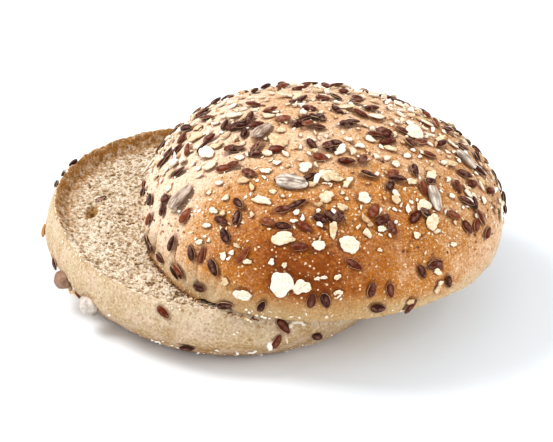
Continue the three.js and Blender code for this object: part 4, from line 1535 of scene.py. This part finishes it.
# %% Oat flakes
OAT_SIZE = (6.2, 4.6)
OAT_THICKNESS = 0.62
OAT_AROUND = 24
OAT_WAVES = ((2, 0.08), (3, 0.08), (5, 0.06), (8, 0.045))  # how often round, and how deep
OAT_ROCKING = 0.32
OAT_STANDS = 0.45
# From the underside's middle to the top's: how far out, and how high in thicknesses.
OAT_SECTION = ((0.8, -0.5), (0.98, -0.22), (1.0, 0.15), (0.8, 0.48), (0.4, 0.5))


def flake_shapes(ragged, stream, section, around, waves):
    """Flakes of unit size, one for each value of how ragged it is: a section carried round an
    uneven outline."""
    count = len(ragged)
    index = np.arange(1, count + 1)[:, None, None]
    turn = np.linspace(0, 2 * math.pi, around, endpoint=False)[None, None, :]
    reach, rise = np.array(section).T[:, None, :, None]
    outline_of_each = 1 + ragged[:, None, None] * sum(
        depth * (0.4 + draw(index, stream + number)) * np.sin(
            times * turn + 2 * math.pi * draw(index, stream + 10 + number))
        for number, (times, depth) in enumerate(waves)
    )
    radius = reach * outline_of_each / 2
    bend = 0.5 * (draw(index, stream + 20) - 0.3)
    x, y = radius * np.cos(turn), radius * np.sin(turn)
    height = rise + 2 * bend * (x**2 - 0.6 * x * y) * 4
    grid = np.stack(np.broadcast_arrays(x, y, height), axis=-1).reshape(count, -1, 3)
    low = np.zeros((count, 1, 3)) + [0, 0, section[0][1]]
    high = np.zeros((count, 1, 3)) + [0, 0, section[-1][1]]
    return np.concatenate([low, grid, high], axis=1)


def oat_finish():
    """Oats: cream to pale tan by each flake's tint, floury mottling, and a faint crease."""
    finish = Finish("oat_flake", roughness=0.72, specular=0.25)
    tint = finish.clouded(finish.attribute("tint"), 0.0009, 4, 1.3, middle=0.45)
    colour = finish.ramp(tint, [
        (0.0, srgb(248, 243, 231)),
        (0.25, srgb(242, 231, 209)),
        (0.55, srgb(226, 202, 164)),
        (1.0, srgb(190, 148, 100)),
    ])
    own = finish.add("ShaderNodeSeparateXYZ", {"Vector": finish.attribute("own", "Vector")})
    wavy = finish.math("ADD", own.outputs["Y"], finish.math("MULTIPLY", finish.noise(0.0016, 2), 0.5))
    from_crease = finish.math("ABSOLUTE", finish.math("SUBTRACT", wavy, 0.25))
    crease = finish.ramp(from_crease, [(0.0, WHITE), (0.16, BLACK)])
    finish.paint(finish.cover(colour, crease, 0.5, srgb(200, 166, 124)))
    height = finish.math("SUBTRACT", finish.noise(0.0007, 4), finish.math("MULTIPLY", crease, 0.5))
    finish.emboss(height, 0.00018, 0.7)
    finish.soften(0.12, (1.0, 0.8, 0.5))
    return finish.material


landmark_sizes = np.array([row[3:] for row in OATS_ON_CROWN])
seen_sizes = np.array([row[3:] for row in OATS_IN_VIEW])
index = np.arange(1, len(hidden_oats) + 1)
hidden_sizes = (0.35 + 0.7 * draw(index, 41))[:, None] * OAT_SIZE
oat_flat = np.concatenate([landmark_sizes, seen_sizes, hidden_sizes])
oat_rows = np.concatenate([np.array([row[:3] for row in OATS_ON_CROWN]), oats_seen, hidden_oats])
oat_here, oat_directions = on_crown(oat_rows)
oat_directions, oat_lift = rocked(oat_directions, OAT_ROCKING, oat_flat / 2, 43)
index = np.arange(1, len(oat_here) + 1)
thickness = OAT_THICKNESS * (0.8 + 0.4 * draw(index, 45))[:, None]
oat_sizes = np.concatenate([oat_flat, thickness], axis=1)
oat_lift = oat_lift + OAT_STANDS * thickness
topping(
    "oat_flakes", flake_shapes(2 - oat_flat[:, 0] / 7, 51, OAT_SECTION, OAT_AROUND, OAT_WAVES),
    (len(OAT_SECTION), OAT_AROUND), oat_sizes,
    oat_here + oat_directions[:, 2] * oat_lift, oat_directions, "oat_flake", oat_finish(),
    tint=0.1 + 0.55 * draw(index, 47) ** 1.6,
)

# %% [markdown]
# ## Shards, chips and crumbs
# Between the seeds the crust is strewn with broken oats, husks, bran and grit, from a third of a
# millimetre to three. They decide how rough the top looks, so there are many of them, and the
# small ones reach further down the front than the seeds do. Crumbs also cling to both cut edges
# and to the foot of the heel. Each is the flake formula again, with few points and deep waves.

# %% Shards and chips
SHARD_COUNT = 440
SHARD_ROOM = 1.75
SHARD_TRIES = 8000
SHARD_SPREAD = -4.0
SPARSE_SIDE = 222  # the middle of the stretch on the left, where few shards lie
SPARSE_REACH = 30
SPARSE_BELOW = 32
SPARSE_KEPT = 0.35
CHIP_COUNT = 2000
CHIP_ROOM = 0.95
CHIP_TRIES = 11000
CHIP_SPREAD = 10.0
ROOM_BESIDE = (1.7, 2.0, 3.0)  # round a flax seed, an oat flake and a kernel, for shards
CHIPS_CLOSER = 0.5  # how much less room there is for chips
ROOM_BESIDE_SHARD = 1.0
CHIP_AROUND = 7
CHIP_SECTION = ((0.75, -0.5), (1.0, 0.0), (0.7, 0.5))
CHIP_WAVES = ((2, 0.28), (3, 0.26))
EDGE_CRUMBS = 900
CREVICE_CRUMBS = 170
CREVICE_SIDES = (194, 251)  # where the crown's edge lies on the heel's crumb, in view
PATCH_SIZE = 6.0
PATCH_LIMIT = 0.15
BIT_ROCKING = 0.4
BIT_STANDS = 0.3
FLOOR_CLEARANCE = 0.55  # how high a bit's middle stays, as a share of its length
# For each kind of bit: the shortest, what is added to it at most, how rare long ones are, and
# the stream of its draws.
SHARD_LENGTHS = (1.4, 1.8, 1.4, 66)
CHIP_LENGTHS = (0.4, 1.1, 2.2, 67)
CROWN_EDGE_LENGTHS = (0.35, 0.7, 2, 67)
HEEL_EDGE_LENGTHS = (0.35, 0.8, 2, 68)
CREVICE_LENGTHS = (0.6, 1.0, 2, 115)


def in_patches(rows, surface, stream):
    """The rows that fall where a noise is high, so that they lie in clusters."""
    return rows[noise(surface(rows[:, 0], rows[:, 1]), PATCH_SIZE, stream) > PATCH_LIMIT]


def drawn_lengths(count, shortest, added, rarity, stream):
    """Lengths from the shortest up, by a power of a draw."""
    return shortest + added * draw(np.arange(count), stream) ** rarity


lying = np.concatenate([crown_rows, oat_rows, np.array(KERNELS_ON_CROWN)[:, :3]])
rooms = np.repeat(ROOM_BESIDE, [len(crown_rows), len(oat_rows), len(KERNELS_ON_CROWN)])
drawn_shards = crown_draws(SHARD_TRIES, 91, SHARD_SPREAD)
taken = with_room(lying, crown_surface, rooms)
shard_rows = kept_apart(drawn_shards, crown_surface, taken, SHARD_ROOM, SHARD_COUNT)
sparse = (np.abs(shard_rows[:, 0] - SPARSE_SIDE) < SPARSE_REACH) & (shard_rows[:, 1] > SPARSE_BELOW)
shard_rows = shard_rows[~sparse | (draw(np.arange(len(shard_rows)), 118) < SPARSE_KEPT)]
lying = np.concatenate([lying, shard_rows])
rooms = np.concatenate([rooms - CHIPS_CLOSER, np.full(len(shard_rows), ROOM_BESIDE_SHARD)])
drawn_chips = crown_draws(CHIP_TRIES, 61, CHIP_SPREAD)
taken = with_room(lying, crown_surface, rooms)
chip_rows = kept_apart(drawn_chips, crown_surface, taken, CHIP_ROOM, CHIP_COUNT)

index = np.arange(1, EDGE_CRUMBS + 1)
turns = 360 * np.stack([draw(index, 101), draw(index, 103)])
edge_drop = 100 - 5 * draw(index, 102) ** 2
crown_edge_rows = in_patches(np.stack([turns[0], edge_drop, turns[1]], axis=1)[::3], crown_surface, 151)
edge_climb = np.where(index % 3 == 1, 2 - 0.2 * draw(index, 104) ** 2, 0.25 + 0.3 * draw(index, 104) ** 2)
heel_edge_rows = in_patches(np.stack([turns[0], edge_climb, turns[1]], axis=1)[1:], heel_side, 153)

# Crumbs lie on the heel's crumb, along the crown's edge. The nearest to it are the darkest: painted shade in
# the crevice.
index = np.arange(1, CREVICE_CRUMBS + 1)
crevice_side = CREVICE_SIDES[0] + (CREVICE_SIDES[1] - CREVICE_SIDES[0]) * draw(index, 111)
crevice_here = crown_surface(crevice_side, 100.0)
crevice_reach = draw(index, 112) ** 2
crevice_here += point_at(crevice_side, 0.1 + 1.5 * crevice_reach, 0.0)
crevice_here[:, 2] = CRUMB_LEVEL + 0.2 + 0.5 * draw(index, 113)
turn = 360 * draw(index, 114)
crevice_directions = np.stack([point_at(turn, 1, 0), point_at(turn + 90, 1, 0), point_at(turn, 0, 1)], axis=1)

crown_bits = np.concatenate([shard_rows, chip_rows, crown_edge_rows, bits_seen])
crown_here, crown_directions = on_crown(crown_bits)
heel_here, heel_directions = on_heel(np.concatenate([bits_low_seen, heel_edge_rows]))
bit_length = np.concatenate([
    drawn_lengths(len(shard_rows), *SHARD_LENGTHS),
    drawn_lengths(len(chip_rows), *CHIP_LENGTHS),
    drawn_lengths(len(crown_edge_rows), *CROWN_EDGE_LENGTHS),
    np.array([row[3] for row in BITS_ON_CROWN_IN_VIEW]),
    np.array([row[3] for row in BITS_LOW_IN_VIEW]),
    drawn_lengths(len(heel_edge_rows), *HEEL_EDGE_LENGTHS),
    drawn_lengths(CREVICE_CRUMBS, *CREVICE_LENGTHS),
])
bit_here = np.concatenate([crown_here, heel_here, crevice_here])
bit_here[:, 2] = np.maximum(bit_here[:, 2], FLOOR_CLEARANCE * bit_length)
index = np.arange(1, len(bit_here) + 1)
bit_sizes = bit_length[:, None] * np.stack(
    [np.ones(len(index)), 0.4 + 0.4 * draw(index, 68), 0.16 + 0.24 * draw(index, 69)], axis=1)
bit_directions, bit_lift = rocked(
    np.concatenate([crown_directions, heel_directions, crevice_directions]), BIT_ROCKING, bit_sizes / 2, 65)
bit_lift = bit_lift + BIT_STANDS * bit_sizes[:, 2:]

# A bit's tint goes from 0, cream, to 1, dark brown. Shards and crumbs are mostly pale, and chips
# are tan on the bare crust low down, where bran lies.
chip_part = slice(len(shard_rows), len(shard_rows) + len(chip_rows))
low_part = slice(len(crown_bits), len(crown_bits) + len(BITS_LOW_IN_VIEW))
bare = 1 - seed_cover(chip_rows[:, 0], chip_rows[:, 1])
bit_tint = draw(index, 75)
bit_tint[:chip_part.start] *= 0.7
bit_tint[chip_part] = bit_tint[chip_part] * (1 - 0.5 * bare) + 0.48 * bare
bit_tint[chip_part.stop:] *= 0.5
bit_tint[low_part] = [row[4] for row in BITS_LOW_IN_VIEW]
# Crevice crumbs are darker the nearer they lie to the crown's edge: painted shade.
bit_tint[-CREVICE_CRUMBS:] = 0.9 - 0.6 * crevice_reach + 0.1 * draw(np.arange(CREVICE_CRUMBS), 116)


def chip_finish():
    """Chips: mostly cream, some tan and a few dark brown, by each one's tint."""
    finish = Finish("chips", roughness=0.7, specular=0.25)
    tint = finish.clouded(finish.attribute("tint"), 0.0008, 3, 0.25)
    finish.paint(finish.ramp(tint, [
        (0.0, srgb(252, 247, 234)),
        (0.35, srgb(243, 230, 206)),
        (0.65, srgb(218, 184, 138)),
        (0.82, srgb(150, 98, 60)),
        (1.0, srgb(74, 40, 30)),
    ]))
    finish.emboss(finish.noise(0.0004, 3), 0.00015, 0.8)
    return finish.material


chips = topping(
    "chips", flake_shapes(np.ones(len(index)), 71, CHIP_SECTION, CHIP_AROUND, CHIP_WAVES),
    (len(CHIP_SECTION), CHIP_AROUND), bit_sizes,
    bit_here + bit_directions[:, 2] * bit_lift, bit_directions, "oat_flake", chip_finish(),
    tint=bit_tint,
)
chips.data.shade_flat()  # broken bits have sharp edges

# %% [markdown]
# ## Crust round the toppings
# Dough sinks a little round a seed. The meshes of the two crusts are already there, so their
# points are only moved in, and each gets one value more: how near it lies to a topping, whose rim
# is taken as an ellipse in the topping's own directions. That value darkens the crusts' colour
# round each topping, as painted shade.

# %% Crust round the toppings
RING_WIDTH = 0.75
RING_DEPTH = 0.22


def press_in_and_shade(crust, origins, directions, sizes):
    """Sinks a crust round its toppings and stores how much: all of the depth up to a topping's
    rim, and then less and less over the ring's width."""
    points, normals = np.empty((2, len(crust.data.vertices) * 3), dtype=np.float32)
    crust.data.vertices.foreach_get("co", points)
    crust.data.vertices.foreach_get("normal", normals)
    points = points.reshape(-1, 3) / MM
    ring = np.zeros(len(points))
    for origin, (along, across, _), (length, width, _) in zip(origins, directions, sizes):
        near = np.flatnonzero(np.max(np.abs(points - origin), axis=1) < length)
        away = points[near] - origin
        reach = np.hypot(away @ along / length, away @ across / width) * 2
        beyond = (reach - 1) * min(length, width) / 2
        ring[near] = np.maximum(ring[near], 1 - smooth_step(beyond, 0, RING_WIDTH))
    points -= RING_DEPTH * ring[:, None] * normals.reshape(-1, 3)
    crust.data.vertices.foreach_set("co", (points * MM).ravel())
    # The stored ring darkens both crusts' finishes round each topping: painted shade.
    crust.data.attributes.new("ring", "FLOAT", "POINT").data.foreach_set("value", ring)
    crust.data.update()
    print(crust.name, "is pressed in at", int(np.sum(ring > 0)), "points")


on_it = [
    (flax_here[:len(crown_rows)], flax_directions[:len(crown_rows)], flax_sizes[:len(crown_rows)]),
    (oat_here, oat_directions, oat_sizes),
    (kernel_here[~lumpy], kernel_directions[~lumpy], kernel_sizes[~lumpy]),
    (bit_here[:len(shard_rows)], bit_directions[:len(shard_rows)], bit_sizes[:len(shard_rows)]),
]
press_in_and_shade(crown_crust, *(np.concatenate(parts) for parts in zip(*on_it)))
on_it = [
    (flax_here[len(crown_rows):], flax_directions[len(crown_rows):], flax_sizes[len(crown_rows):]),
    (kernel_here[lumpy], kernel_directions[lumpy], kernel_sizes[lumpy]),
]
press_in_and_shade(heel_crust, *(np.concatenate(parts) for parts in zip(*on_it)))

# %% [markdown]
# ## Floor finish
# The floor is plain white with a hint of unevenness, and slightly cool, which offsets the warm
# light that the bun throws into its own shadow.

# %% Floor finish
floor_finish = Finish("floor_white", roughness=0.6, specular=0.2)
floor_finish.paint(floor_finish.ramp(floor_finish.noise(0.4, 2), [
    (0.3, (0.85, 0.89, 0.93)), (0.7, (0.87, 0.91, 0.95))]))
floor.data.materials.append(floor_finish.material)
